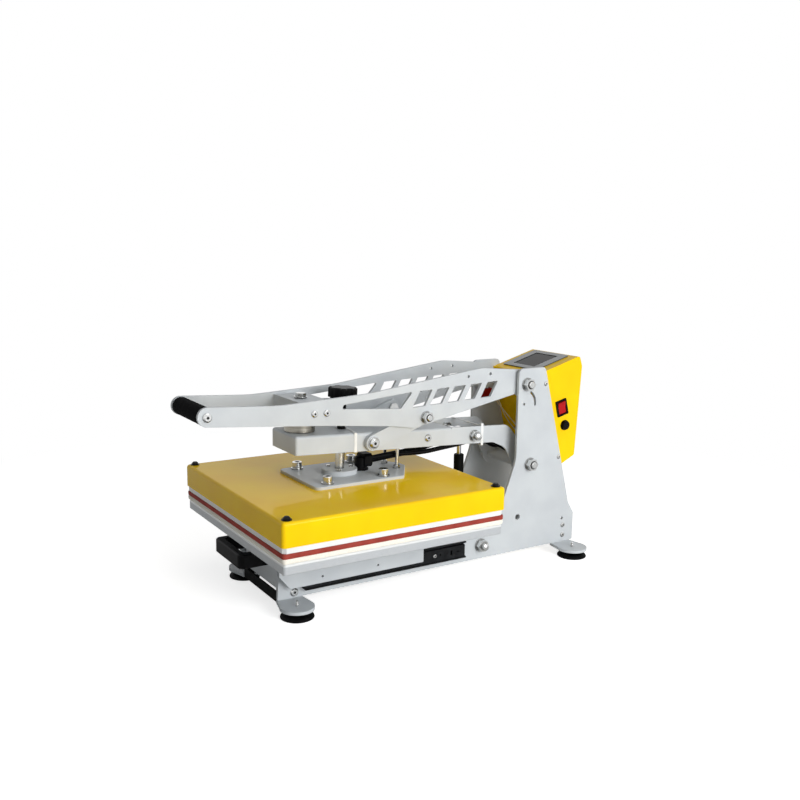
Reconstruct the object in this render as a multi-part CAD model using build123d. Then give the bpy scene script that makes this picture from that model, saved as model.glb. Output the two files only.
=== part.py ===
from build123d import *
import math
import os

os.makedirs("parts", exist_ok=True)

# A clamshell heat press: X is the operator's right, Y points to the back, Z is up.
# Stations along Y are measured from the front edge of the heat cover and heights from
# the floor. The export moves everything by ORIGIN_Y, so that the origin lies on the
# floor under the middle of the machine.
ORIGIN_Y = 300.0

# Clearances
RUN_FIT = 0.05
SCREW_PLAY = 0.1
FACE_GAP = 0.3

# Shank radii of the small screws
SCREW_4 = 2.0
SCREW_5 = 2.5
SCREW_6 = 3.0
SCREW_8 = 4.0
SCREW_10 = 5.0

# Side plates of base and column
PLATE_T = 5.0
PLATE_OUT = 69.4
PLATE_BOTTOM = 18.0
PLATE_FRONT_Y = 48.0
PLATE_REAR_Y = 654.0
PLATE_FRONT_TOP = 57.0
PLATE_SHOULDER = 102.0
COLUMN_TOP = 350.0
COLUMN_FRONT_Y = 512.0
COLUMN_REAR_Y = 572.0
COLUMN_FLARE_Z = 187.0
COLUMN_FOOT_Y = 640.0
COLUMN_FOOT_Z = 93.0
SHOULDER_FRONT_Y = 240.0
SHOULDER_REAR_Y = 300.0
AIR_HOLE = (520.0, 81.0, 5.2)
CORD_HOLE = (626.5, 63.0, 2.8)
SWITCH_HOLE = (525.6, 286.6, 2.3)
SWITCH_SLOT_R = 25.0
BOX_SCREWS = ((611.8, 182.0), (574.0, 320.0))

# Foot tabs and feet
TAB_T = 5.0
TAB_R = 27.0
TAB_ROOT = 42.0
FOOT_X = 101.3
FOOT_FRONT_Y = 66.0
FOOT_REAR_Y = 625.0
FOOT_R = 26.5
FOOT_NECK_R = 10.0
STUD_R = 2.5
STUD_UP = 7.5

# Pivots of the linkage, as (Y, Z)
LEVER_PIVOT = (531.0, 322.0)
ARM_PIVOT = (543.6, 176.2)
LINK_UPPER = (324.0, 280.0)
LINK_LOWER = (227.0, 245.0)
SPRING_TOP = (436.0, 235.0)
SPRING_FOOT = (437.5, 43.0)
PIN_R = 6.0
BUSH_R = 12.0
NUT_AF = 19.0
NUT_T = 9.0
WASHER_R = 12.0
WASHER_T = 2.0
CAP_R = 6.0
CAP_H = 8.0
SMALL_NUT_AF = 17.0

# Crossbar and crossplate between the side plates
CROSSBAR_Y = 49.5
CROSSBAR_LOW = 13.0
CROSSBAR_TOP = 29.6
CROSSBAR_T = 3.0
CROSSBAR_EAR = 40.0
CROSSBAR_SCREW = (76.5, 26.7)
REAR_PLATE_Y = 629.0
REAR_PLATE_T = 9.0
REAR_PLATE_Z = (22.0, 58.0)
REAR_SCREW_Z = (30.8, 49.7)

# Drawer slides
SLIDE_Y = 91.0
SLIDE_LEN = 308.0
SLIDE_Z = 44.2
SLIDE_H = 29.0
SLIDE_T = 12.7
SLIDE_WALL = 1.2
SLIDE_LIP = 2.0
SLIDE_MIDDLE_H = 24.4
SLIDE_MIDDLE_WALL = 1.0
SLIDE_INNER_H = 20.4
SLIDE_INNER_WALL = 1.1
SLIDE_INNER_BACK = 4.5
SLIDE_HOLE_R = 2.2
SLIDE_SCREW_BACK = 62.5
SLIDE_SLOTS = ((28.0, 4.0, 8.0), (14.0, 7.0, 2.5))
SLIDE_HOLES = ((51.0, 1.8), (37.0, 1.1), (SLIDE_SCREW_BACK, 2.0))
CAGE_LEN = 206.0
CAGE_TEETH = 14

# Drawer carriage, its handle and what lies on it
SHEET_T = 3.0
CARRIAGE_FRONT_Y = 44.0
CARRIAGE_REAR_Y = 307.0
CARRIAGE_LOW = 39.5
CARRIAGE_CHAMFER = 22.0
WEB_HALF = 61.0
WEB_Y = 52.0
HANDLE_HALF = 52.0
HANDLE_FRONT_Y = -6.3
HANDLE_LOW = 71.5
HANDLE_HIGH = 94.5
HANDLE_BAR = 13.0
HEAT_PLATEN = 386.0
PLATEN_Y = 194.0
LOWER_PLATEN = HEAT_PLATEN - 2.0
LOWER_PLATEN_Z = 106.0
LOWER_PLATEN_T = 17.0
PLATEN_R = 4.0
FOAM_T = 7.3
PAD_T = 7.4
PAD = HEAT_PLATEN + 2.0
PAD_R = 5.0

# Heating head
HEAT_PLATEN_T = 15.5
COVER = HEAT_PLATEN + 4.0
COVER_WALL = 1.5
COVER_Z = 146.8
COVER_TOP = 183.7
COVER_R = 6.0
COVER_EDGE_R = 5.0
KNOB_INSET = 12.0
COVER_KNOB_R = 5.5
COVER_KNOB_H = 5.6
COVER_SCREW_R = 2.5
MOUNT_T = 5.0
MOUNT_HALF = 70.0
MOUNT_FRONT_Y = 115.5
MOUNT_SHOULDER_Y = 276.0
MOUNT_NOSE_Y = 315.5
MOUNT_NOSE_HALF = 10.0
BOLT_X = 55.0
BOLT_DY = 51.5
BOLT_R = 5.0
BOLT_HEAD_R = 8.0
BOLT_HEAD_T = 10.0
BOLT_WASHER_T = 2.5
BOSS_R = 10.0
HUB_R = 29.5
HUB_T = 8.0
HUB_SCREW_RING = 21.5
HUB_SCREW_ANGLES = (-30, 90, 210)
ROD_X = 20.0
ROD_Y = 291.8
ROD_R = 3.0
ROD_TOP = 241.0

# Press arm, whose top leans down to the back by ARM_TILT degrees
ARM_X = 44.5
ARM_WALL = 3.0
ARM_TILT = 2.7
ARM_FRONT_Y = 92.0
ARM_FRONT_TOP = 267.1
ARM_H = 30.2
ARM_WEB_END_Y = 388.0
ARM_CORNER_R = 4.5
ARM_EYE_R = 21.0
ARM_TUBE_R = 11.0
ARM_SCREW = (338.6, 240.6)

# Pressure spindle and knob
SPINDLE_Y = 193.0
SPINDLE_R = 7.8
SPINDLE_TOP_R = 5.5
SPINDLE_FOOT_R = 12.0
SLEEVE_R = 6.8
NUT_BLOCK_R = 15.0
NUT_BLOCK_H = 30.0
KNOB_R = 24.0
KNOB_H = 17.0
KNOB_BASE_Z = 314.5
KNOB_LOBES = 7

# Cable ties round the arm
TIE_W = 5.0
TIE_T = 0.8
TIE_GAP = 0.02
TIE_FRONT_Y = 207.0
TIE_LEAN = -11.0
TIE_REAR_Y = 453.0
TIE_SAG = 3.2

# Lever
LEVER_OUT = 59.4
LEVER_T = 5.0
LEVER_END_R = 14.5
LEVER_HEEL_R = 24.5
HANDLE_PIVOT = (-55.0, 313.0)
LEVER_TOP_EDGE = ((60.0, 320.6), (215.0, 327.6), (437.0, 355.2))
LEVER_LOW_EDGE = ((510.0, 304.4), (302.0, 263.6), (262.0, 270.2), (150.0, 281.8))
LEVER_BEND_R = 300.0
LEVER_HOLES = ((409.6, 342.3), (456.4, 344.1))
TRIANGLE_WINDOW = ((165.5, 306.6), (168.5, 313.2), (297.5, 324.6), (274.5, 298.2))
GRIP_R = 14.0
GRIP_TUBE_R = 10.0
WINDOW_COUNT = 5
WINDOW_PITCH = 34.85
WINDOW_W = 25.0
WINDOW_H = 26.8
WINDOW_LEAN = 15.0
WINDOW_START = (296.5, 298.0)
WINDOW_RISE = 0.038
BRACKET_Y = (101.0, 152.0)
BRACKET_TOP = 319.0
BRACKET_LOW = 297.0
BRACKET_SCREWS = ((117.4, 303.4), (138.5, 303.0))
MAGNET_Y = 120.0
MAGNET_R = 25.0
MAGNET_T = 27.0

# Toggle links
LINK_W = 26.0
LINK_T = 8.0
LINK_PIN_R = 5.0

# Limit switch on the left column
SWITCH_BOX_Y = (522.4, 553.6)
SWITCH_BOX_Z = (279.4, 295.4)
SWITCH_BOX_T = 10.0

# Gas spring
CYLINDER_R = 9.0
CYLINDER_LEN = 150.0
SPRING_EYE_R = 9.0
SPRING_EYE_W = 10.0
SPRING_ROD_R = 4.0
SPRING_PIN_R = 5.0
SPRING_NUT_T = 6.5

# Control box
BOX_WALL = 1.5
BOX_FRONT_TOP = (557.0, 336.0)
BOX_REAR_TOP = (658.0, 365.0)
BOX_SHOULDER = (664.5, 346.0)
BOX_HEEL = (654.5, 180.0)
BOX_BOTTOM = (606.0, 158.0)
SEAM = 3.8
SCREEN_INSET = 16.0
BEZEL_X = -4.0
BEZEL_W = 95.0
BEZEL_D = 80.0
BEZEL_T = 2.0
SCREEN_W = 60.0
SCREEN_D = 58.0
SWITCH_AT = (618.7, 272.0)
SWITCH_TILT = 14.5
SWITCH_W = 25.5
SWITCH_H = 30.0
ROCKER_W = 17.0
ROCKER_H = 23.0
ROCKER_PLAY = 1.0
ROCKER_PIN = -2.0
ROCKER_TILT = 8.0
FUSE_AT = (627.4, 238.9)
FUSE_R = 9.5
GLAND_Z = 200.0
GLAND_X = -30.0
GLAND_LEN = 8.4
GLAND_R = 6.0
HEATER_INLET_X = -22.0
SENSOR_INLET_X = 20.0
WIRE_INLET = (-23.0, 219.0)
WIRE_INLET_R = 8.4

# Cables
HEATER_CABLE_R = 6.0
SENSOR_CABLE_R = 4.0
WIRE_R = 1.0
BOX_CABLE_Z = 203.0
ELBOW_Y = 234.0
ELBOW_R = 10.5

# Values worked out from the sizes above
PLATE_IN = PLATE_OUT - PLATE_T
LEVER_IN = LEVER_OUT - LEVER_T
ARM_IN = ARM_X - ARM_WALL
FOAM_Z = LOWER_PLATEN_Z + LOWER_PLATEN_T
PAD_Z = FOAM_Z + FOAM_T
HEAT_Z = PAD_Z + PAD_T + FACE_GAP
MOUNT_TOP = COVER_TOP + MOUNT_T
HUB_TOP = MOUNT_TOP + HUB_T
BOLT_TOP = MOUNT_TOP + BOLT_WASHER_T + BOLT_HEAD_T
BOX_X = PLATE_IN - 0.2
SLIDE_OUT = PLATE_OUT + SLIDE_T
ARM_SLOPE = math.tan(math.radians(ARM_TILT))
BOLT_SPOTS = [(sx * BOLT_X, PLATEN_Y + sy * BOLT_DY) for sx in (-1, 1) for sy in (-1, 1)]
KNOB_SPOTS = [
    (sx * (COVER / 2 - KNOB_INSET), PLATEN_Y + sy * (COVER / 2 - KNOB_INSET))
    for sx in (-1, 1)
    for sy in (-1, 1)
]

nodes = {}


def outline(corners):
    """A flat face from (u, v, corner radius) triples, in order round its edge."""
    points = [(u, v) for u, v, _ in corners]
    radii = [r for _, _, r in corners]
    return make_face(FilletPolyline(*points, radius=radii, close=True))


def side_prism(face, x0, x1):
    """A face drawn in (Y, Z), made solid from x0 to x1."""
    return extrude(Plane.YZ.offset(x0) * face, x1 - x0)


def rod_x(x0, x1, at, radius):
    """A round bar along X through the point at = (Y, Z)."""
    return side_prism(Pos(at[0], at[1]) * Circle(radius), x0, x1)


def ring_x(x0, x1, at, outer, inner):
    return side_prism(Pos(at[0], at[1]) * (Circle(outer) - Circle(inner)), x0, x1)


def hex_x(x0, x1, at, flats, hole):
    """A hexagon nut with its axis along X."""
    face = Pos(at[0], at[1]) * (RegularPolygon(flats / 2, 6, major_radius=False) - Circle(hole))
    return side_prism(face, x0, x1)


def bar_z(x, y, z0, z1, radius):
    return Pos(x, y, z0) * extrude(Circle(radius), z1 - z0)


def block(x0, x1, y0, y1, z0, z1):
    size = Box(x1 - x0, y1 - y0, z1 - z0, align=(Align.MIN, Align.MIN, Align.MIN))
    return Pos(x0, y0, z0) * size


def both_sides(shape):
    """The shape and its mirror image on the other side of the machine."""
    return [shape, mirror(shape, Plane.YZ)]


def group(shapes):
    solids = [solid for shape in shapes for solid in shape.solids()]
    return Compound(children=solids)


def button_head(x, at, radius, height, side=1):
    """A low screw head that stands out of the face at x, towards side."""
    head = rod_x(x, x + height, at, radius)
    head = chamfer(head.faces().sort_by(Axis.X)[-1].edges(), height * 0.55)
    return head if side > 0 else mirror(head, Plane.YZ)


def arm_top(y):
    return ARM_FRONT_TOP - ARM_SLOPE * (y - ARM_FRONT_Y)


def arm_low(y):
    return arm_top(y) - ARM_H


# Base and column


def side_plate():
    flare_y = COLUMN_FRONT_Y - 0.374 * (COLUMN_FLARE_Z - PLATE_SHOULDER)
    face = outline(
        [
            (PLATE_FRONT_Y, PLATE_BOTTOM, 2),
            (PLATE_REAR_Y, PLATE_BOTTOM, 4),
            (PLATE_REAR_Y, COLUMN_FOOT_Z - 22, 8),
            (COLUMN_FOOT_Y, COLUMN_FOOT_Z, 14),
            (COLUMN_REAR_Y, COLUMN_TOP, 8),
            (COLUMN_FRONT_Y, COLUMN_TOP, 10),
            (COLUMN_FRONT_Y, COLUMN_FLARE_Z, 60),
            (flare_y, PLATE_SHOULDER, 12),
            (SHOULDER_REAR_Y, PLATE_SHOULDER, 20),
            (SHOULDER_FRONT_Y, PLATE_FRONT_TOP, 20),
            (PLATE_FRONT_Y + 2, PLATE_FRONT_TOP, 4),
        ]
    )
    for at in (LEVER_PIVOT, ARM_PIVOT, SPRING_FOOT):
        face -= Pos(*at) * Circle(PIN_R)
    for y, z, r in side_holes():
        face -= Pos(y, z) * Circle(r + SCREW_PLAY)
    face -= slot_face()
    plate = side_prism(face, PLATE_IN, PLATE_OUT)
    for y, root in ((FOOT_FRONT_Y, PLATE_FRONT_Y), (FOOT_REAR_Y, FOOT_REAR_Y - TAB_ROOT / 2)):
        plate += foot_tab(y, root)
    return plate


def side_holes():
    """Open holes and screw holes of a side plate, as (Y, Z, radius)."""
    screws = [(REAR_PLATE_Y, z, SCREW_5) for z in REAR_SCREW_Z] + [(*CROSSBAR_SCREW, SCREW_6)]
    box_screws = [(y, z, SCREW_4) for y, z in BOX_SCREWS]
    return screws + box_screws + [AIR_HOLE, CORD_HOLE, SWITCH_HOLE]


def slot_face():
    """A curved slot about the small hole, in which the limit switch is set."""
    y, z, radius = SWITCH_HOLE
    arc = CenterArc(Vector(y, z), SWITCH_SLOT_R, -5, 58)
    return make_face(offset(arc, radius, side=Side.BOTH))


def foot_tab(y, root):
    """A half-round tab bent out of the plate's lower edge, with a tapped hole."""
    neck = Polygon(
        (PLATE_IN, root), (FOOT_X, y - TAB_R), (FOOT_X, y + TAB_R), (PLATE_IN, root + TAB_ROOT), align=None
    )
    face = neck + Pos(FOOT_X, y) * Circle(TAB_R) - Pos(FOOT_X, y) * Circle(STUD_R + RUN_FIT)
    return Pos(0, 0, PLATE_BOTTOM - TAB_T) * extrude(face, TAB_T)


def front_crossbar():
    """A folded strip across the front whose two ears bolt inside the side plates."""
    half = PLATE_IN
    bar = block(-half, half, CROSSBAR_Y, CROSSBAR_Y + CROSSBAR_T, CROSSBAR_LOW, CROSSBAR_TOP)
    ear_end = CROSSBAR_Y + CROSSBAR_EAR
    ear = block(half - CROSSBAR_T, half, CROSSBAR_Y, ear_end, PLATE_BOTTOM, CROSSBAR_TOP + 6)
    ear -= rod_x(half - CROSSBAR_T, half, CROSSBAR_SCREW, SCREW_6 + SCREW_PLAY)
    for side in both_sides(ear):
        bar += side
    return bar


def rear_crossplate():
    low, high = REAR_PLATE_Z
    front = REAR_PLATE_Y - REAR_PLATE_T / 2
    plate = block(-PLATE_IN, PLATE_IN, front, front + REAR_PLATE_T, low, high)
    for z in REAR_SCREW_Z:
        for side in both_sides(rod_x(PLATE_IN - 15, PLATE_IN, (REAR_PLATE_Y, z), SCREW_5 + SCREW_PLAY)):
            plate -= side
    return plate


def frame_screws():
    """Screws of crossbar, crossplate and control box, seen on the plates' outer faces."""
    shapes = []
    front = button_head(PLATE_OUT, CROSSBAR_SCREW, 6.5, 2.6)
    front += rod_x(PLATE_IN - CROSSBAR_T - 5, PLATE_OUT, CROSSBAR_SCREW, SCREW_6)
    front += hex_x(PLATE_IN - CROSSBAR_T - 5, PLATE_IN - CROSSBAR_T, CROSSBAR_SCREW, 10, SCREW_6 - SCREW_PLAY)
    shapes += both_sides(front)
    for z in REAR_SCREW_Z:
        screw = button_head(PLATE_OUT, (REAR_PLATE_Y, z), 4.6, 2.4)
        screw += rod_x(PLATE_IN - 12, PLATE_OUT, (REAR_PLATE_Y, z), SCREW_5)
        shapes += both_sides(screw)
    for at in BOX_SCREWS:
        screw = button_head(PLATE_OUT, at, 4.0, 2.2)
        screw += rod_x(BOX_X - BOX_WALL - 2, PLATE_OUT, at, SCREW_4)
        shapes += both_sides(screw)
    for shift in (0, SWITCH_SLOT_R):
        at = (SWITCH_HOLE[0] + shift, SWITCH_HOLE[1])
        screw = button_head(PLATE_OUT, at, 4.5, 2.4)
        screw += rod_x(PLATE_IN, PLATE_OUT, at, SCREW_4)
        shapes.append(mirror(screw, Plane.YZ))
    return group(shapes)


def limit_switch():
    """The microswitch inside the left column that feels the lever's heel."""
    y0, y1 = SWITCH_BOX_Y
    z0, z1 = SWITCH_BOX_Z
    body = block(-PLATE_IN, -PLATE_IN + SWITCH_BOX_T, y0, y1, z0, z1)
    body = chamfer(body.edges().filter_by(Axis.X), 1.0)
    blade = block(-PLATE_IN + 3, -PLATE_IN + SWITCH_BOX_T - 2, y0 + 2, y1 - 4, z1 + 1.0, z1 + 1.5)
    blade += block(-PLATE_IN + 3, -PLATE_IN + SWITCH_BOX_T - 2, y0 + 2, y0 + 2.6, z1, z1 + 1.5)
    return body + blade


def pivot_pins():
    """The two pivot bolts through the column and the pin under the gas spring."""
    reach = PLATE_OUT + WASHER_T + NUT_T + 3
    pins = [chamfered_pin(reach, at) for at in (LEVER_PIVOT, ARM_PIVOT)]
    pins.append(chamfered_pin(PLATE_OUT + WASHER_T + NUT_T, SPRING_FOOT))
    return group(pins)


def chamfered_pin(reach, at):
    pin = rod_x(-reach, reach, at, PIN_R)
    ends = [face for face in pin.faces() if abs(abs(face.center().X) - reach) < 0.01]
    return chamfer([edge for face in ends for edge in face.edges()], 1.2)


def pivot_nuts():
    """Washers, hexagon nuts and, on the lower pin, cap nuts."""
    shapes = []
    start = PLATE_OUT + WASHER_T
    for at in (LEVER_PIVOT, ARM_PIVOT, SPRING_FOOT):
        shapes += both_sides(ring_x(PLATE_OUT, start, at, WASHER_R, PIN_R))
    for at in (LEVER_PIVOT, ARM_PIVOT):
        shapes += both_sides(hex_x(start, start + NUT_T, at, NUT_AF, PIN_R))
    foot_nut = hex_x(start, start + NUT_T, SPRING_FOOT, NUT_AF, PIN_R)
    shapes += both_sides(foot_nut + cap(start + NUT_T, SPRING_FOOT))
    return group(shapes)


def cap(x, at):
    """The closed, rounded end of a cap nut."""
    dome = rod_x(x, x + CAP_H, at, CAP_R)
    dome = chamfer(dome.faces().sort_by(Axis.X)[-1].edges(), CAP_R * 0.25)
    return chamfer(dome.faces().sort_by(Axis.X)[-1].edges(), CAP_R * 0.25, CAP_R * 0.4)


def pivot_spacers():
    """Bushes that hold the lever, the arm and the gas spring in the middle."""
    lever = ring_x(LEVER_OUT + FACE_GAP, PLATE_IN, LEVER_PIVOT, BUSH_R, PIN_R)
    arm = ring_x(ARM_X + FACE_GAP, PLATE_IN, ARM_PIVOT, BUSH_R, PIN_R)
    foot = ring_x(SPRING_EYE_W / 2 + FACE_GAP, PLATE_IN, SPRING_FOOT, BUSH_R - 3, PIN_R)
    return group(both_sides(lever) + both_sides(arm) + both_sides(foot))


def foot(x, y):
    """A rubber suction foot with its levelling stud."""
    top = PLATE_BOTTOM - TAB_T - FACE_GAP
    profile = outline(
        [
            (0, 4.0, 0),
            (FOOT_R - 6, 0, 0),
            (FOOT_R - 1, 0, 0),
            (FOOT_R, 2.0, 0),
            (FOOT_R - 4, 6.5, 0),
            (FOOT_NECK_R + 3, 9.5, 0),
            (FOOT_NECK_R, top, 0),
            (0, top, 0),
        ]
    )
    rubber = revolve(Plane.XZ * profile, Axis.Z) - bar_z(0, 0, 6, top, STUD_R)
    stud = bar_z(0, 0, 6, PLATE_BOTTOM + STUD_UP, STUD_R)
    return group([Pos(x, y, 0) * rubber, Pos(x, y, 0) * stud])


# Drawer slides


def channel_y(x0, x1, half, wall, y0, length, lip=0.0, open_out=True):
    """A C-shaped slide member along Y, open to the outside or to the inside."""
    shift = wall if open_out else -wall
    face = Rectangle(x1 - x0, 2 * half) - Pos(shift, 0) * Rectangle(x1 - x0, 2 * (half - wall))
    if lip:
        edge = (x1 - x0) / 2 - wall / 2 if open_out else -(x1 - x0) / 2 + wall / 2
        for sign in (-1, 1):
            face += Pos(edge, sign * (half - lip / 2)) * Rectangle(wall, lip)
    plane = Plane(origin=((x0 + x1) / 2, y0, SLIDE_Z), x_dir=(1, 0, 0), z_dir=(0, -1, 0))
    return extrude(plane * face, -length)


def slide_outer():
    member = channel_y(PLATE_OUT, SLIDE_OUT - 1.9, SLIDE_H / 2, SLIDE_WALL, SLIDE_Y, SLIDE_LEN, lip=SLIDE_LIP)
    for share in (0.1, 0.5, 0.9):
        at = (SLIDE_Y + SLIDE_LEN * share, SLIDE_Z)
        member -= rod_x(PLATE_OUT, PLATE_OUT + SLIDE_WALL, at, SLIDE_HOLE_R)
    return member


def slide_middle():
    """The middle member with the ball cages that run above and below its flanges."""
    x0 = PLATE_OUT + SLIDE_WALL + 1.2
    half = SLIDE_MIDDLE_H / 2
    member = channel_y(x0, SLIDE_OUT - 3.7, half, SLIDE_MIDDLE_WALL, SLIDE_Y, SLIDE_LEN)
    cage_y = SLIDE_Y + (SLIDE_LEN - CAGE_LEN) / 2
    outer_room = SLIDE_H / 2 - SLIDE_WALL - FACE_GAP
    inner_room = SLIDE_INNER_H / 2 + FACE_GAP
    for sign in (-1, 1):
        upper = sorted((SLIDE_Z + sign * half, SLIDE_Z + sign * outer_room))
        lower = sorted((SLIDE_Z + sign * inner_room, SLIDE_Z + sign * (half - SLIDE_MIDDLE_WALL)))
        member += notched_cage(x0 + 2.4, x0 + 6.2, cage_y, *upper)
        member += block(x0 + 3, x0 + 6.2, cage_y, cage_y + CAGE_LEN, *lower)
    return member


def notched_cage(x0, x1, y0, z0, z1):
    cage = block(x0, x1, y0, y0 + CAGE_LEN, z0, z1)
    pitch = CAGE_LEN / CAGE_TEETH
    for i in range(CAGE_TEETH):
        y = y0 + pitch * (i + 0.5)
        cage -= block(x1 - 1.6, x1, y - pitch * 0.28, y + pitch * 0.28, z0, z1)
    return cage


def slide_inner():
    """The drawer's member: its web lies against the carriage and its flanges reach in."""
    start = SLIDE_Y - SLIDE_INNER_BACK
    rear = start + SLIDE_LEN
    web = SLIDE_OUT - SLIDE_INNER_WALL
    half = SLIDE_INNER_H / 2
    member = channel_y(SLIDE_OUT - 7.0, SLIDE_OUT, half, SLIDE_INNER_WALL, start, SLIDE_LEN, open_out=False)
    for back, wide, high in SLIDE_SLOTS:
        y = rear - back
        member -= block(web, SLIDE_OUT, y - wide / 2, y + wide / 2, SLIDE_Z - high / 2, SLIDE_Z + high / 2)
    for back, radius in SLIDE_HOLES:
        member -= rod_x(web, SLIDE_OUT, (rear - back, SLIDE_Z), radius)
    return member


# Drawer


def drawer_carriage():
    """One folded sheet: a tray under the platen, two side panels and a front web."""
    top = LOWER_PLATEN_Z
    wide = SLIDE_OUT + SHEET_T
    shape = block(-wide, wide, CARRIAGE_FRONT_Y, CARRIAGE_REAR_Y, top - SHEET_T, top)
    side = outline(
        [
            (CARRIAGE_FRONT_Y, top, 0),
            (CARRIAGE_FRONT_Y, CARRIAGE_LOW + CARRIAGE_CHAMFER, 3),
            (CARRIAGE_FRONT_Y + CARRIAGE_CHAMFER * 0.85, CARRIAGE_LOW, 3),
            (CARRIAGE_REAR_Y, CARRIAGE_LOW, 2),
            (CARRIAGE_REAR_Y, top, 0),
        ]
    )
    for y in (118, 219):
        side -= Pos(y, 50) * Circle(1.8)
    for panel in both_sides(side_prism(side, SLIDE_OUT, wide)):
        shape += panel
    shape += block(-WEB_HALF, WEB_HALF, WEB_Y, WEB_Y + SHEET_T, CROSSBAR_TOP + 4, top)
    return shape


def drawer_handle():
    """A moulded U-shaped pull that stands off the drawer's front web."""
    outer = outline(
        [
            (-HANDLE_HALF, HANDLE_FRONT_Y, 9),
            (HANDLE_HALF, HANDLE_FRONT_Y, 9),
            (HANDLE_HALF, WEB_Y, 0),
            (-HANDLE_HALF, WEB_Y, 0),
        ]
    )
    inner = outline(
        [
            (-HANDLE_HALF + HANDLE_BAR, HANDLE_FRONT_Y + HANDLE_BAR, 6),
            (HANDLE_HALF - HANDLE_BAR, HANDLE_FRONT_Y + HANDLE_BAR, 6),
            (HANDLE_HALF - HANDLE_BAR, WEB_Y, 0),
            (-HANDLE_HALF + HANDLE_BAR, WEB_Y, 0),
        ]
    )
    pull = Pos(0, 0, HANDLE_LOW) * extrude(outer - inner, HANDLE_HIGH - HANDLE_LOW)
    rims = pull.faces().sort_by(Axis.Z)
    edges = [edge for face in (rims[0], rims[-1]) for edge in face.edges() if edge.center().Y < WEB_Y - 1]
    return chamfer(edges, 1.8)


def slab(side, z0, z1, corner, edge=0.0):
    """A square plate about the middle of the platens, with rounded corners."""
    plate = Pos(0, PLATEN_Y, z0) * extrude(RectangleRounded(side, side, corner), z1 - z0)
    if edge:
        plate = fillet(plate.faces().sort_by(Axis.Z)[-1].edges(), edge)
    return plate


def lower_platen():
    plate = slab(LOWER_PLATEN, LOWER_PLATEN_Z, FOAM_Z, PLATEN_R)
    plate = chamfer(plate.faces().sort_by(Axis.Z)[-1].edges(), 2.4)
    return chamfer(plate.faces().sort_by(Axis.Z)[0].edges(), 1.0)


def drawer_screws():
    """Handle screws, slide screws at the rear and countersunk platen screws below."""
    shapes = []
    for sx in (-1, 1):
        x = sx * (HANDLE_HALF - HANDLE_BAR / 2)
        z = (HANDLE_LOW + HANDLE_HIGH) / 2
        head = Pos(x, WEB_Y + SHEET_T + 1.5, z) * Rot(90, 0, 0) * Cylinder(4.5, 3)
        shapes.append(head)
    slide_screw = (SLIDE_Y - SLIDE_INNER_BACK + SLIDE_LEN - SLIDE_SCREW_BACK, SLIDE_Z)
    screw = button_head(SLIDE_OUT, slide_screw, 3.4, 1.6)
    shapes += both_sides(screw + rod_x(SLIDE_OUT - SLIDE_INNER_WALL, SLIDE_OUT, slide_screw, 1.9))
    for sx in (-1, 1):
        for y in (90, 265):
            shapes.append(bar_z(sx * 40, y, LOWER_PLATEN_Z - SHEET_T - 1.6, LOWER_PLATEN_Z - SHEET_T, 5.0))
    return group(shapes)


# Heating head


def heat_platen():
    """The cast aluminium platen with bosses for the mounting bolts and the cover screws."""
    half = HEAT_PLATEN / 2
    cut = 5.0
    face = outline(
        [(sx * (half - a), sy * (half - b), 0) for sx, sy, a, b in corner_cuts(cut)]
    )
    plate = Pos(0, PLATEN_Y, HEAT_Z) * extrude(face, HEAT_PLATEN_T)
    top = HEAT_Z + HEAT_PLATEN_T
    for x, y in BOLT_SPOTS:
        plate += bar_z(x, y, top, COVER_TOP - COVER_WALL, BOSS_R)
    for x, y in KNOB_SPOTS:
        plate += bar_z(x, y, top, COVER_TOP - COVER_WALL, COVER_KNOB_R - 1.6)
    for x, y in BOLT_SPOTS:
        plate -= bar_z(x, y, top, COVER_TOP, BOLT_R + SCREW_PLAY)
    return plate


def corner_cuts(cut):
    """The eight corner points of a square with bevelled corners, as signs and insets."""
    order = [(-1, -1), (1, -1), (1, 1), (-1, 1)]
    points = []
    for sx, sy in order:
        pair = [(sx, sy, 0, cut), (sx, sy, cut, 0)]
        points += pair if sx * sy > 0 else pair[::-1]
    return points


def heat_cover():
    """A deep-drawn cover, open below, with holes for the bolts and the cable elbow."""
    outer = slab(COVER, COVER_Z, COVER_TOP, COVER_R, COVER_EDGE_R)
    inner = slab(COVER - 2 * COVER_WALL, COVER_Z, COVER_TOP - COVER_WALL, COVER_R - COVER_WALL)
    inner = chamfer(inner.faces().sort_by(Axis.Z)[-1].edges(), COVER_EDGE_R * 0.5)
    cover = outer - inner
    for x, y in BOLT_SPOTS:
        cover -= bar_z(x, y, COVER_TOP - COVER_WALL, COVER_TOP, BOLT_R + SCREW_PLAY)
    for x, y in KNOB_SPOTS:
        cover -= bar_z(x, y, COVER_TOP - COVER_WALL, COVER_TOP, COVER_SCREW_R + SCREW_PLAY)
    return cover


def cover_knobs():
    """Black domed caps on the cover's four corner screws."""
    shapes = []
    for x, y in KNOB_SPOTS:
        knob = bar_z(x, y, COVER_TOP, COVER_TOP + COVER_KNOB_H, COVER_KNOB_R)
        knob = chamfer(knob.faces().sort_by(Axis.Z)[-1].edges(), COVER_KNOB_H * 0.4)
        knob += bar_z(x, y, COVER_TOP, COVER_TOP + COVER_KNOB_H * 0.25, COVER_KNOB_R + 2)
        knob += bar_z(x, y, COVER_TOP - COVER_WALL, COVER_TOP, COVER_SCREW_R)
        shapes.append(knob)
    return group(shapes)


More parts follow.
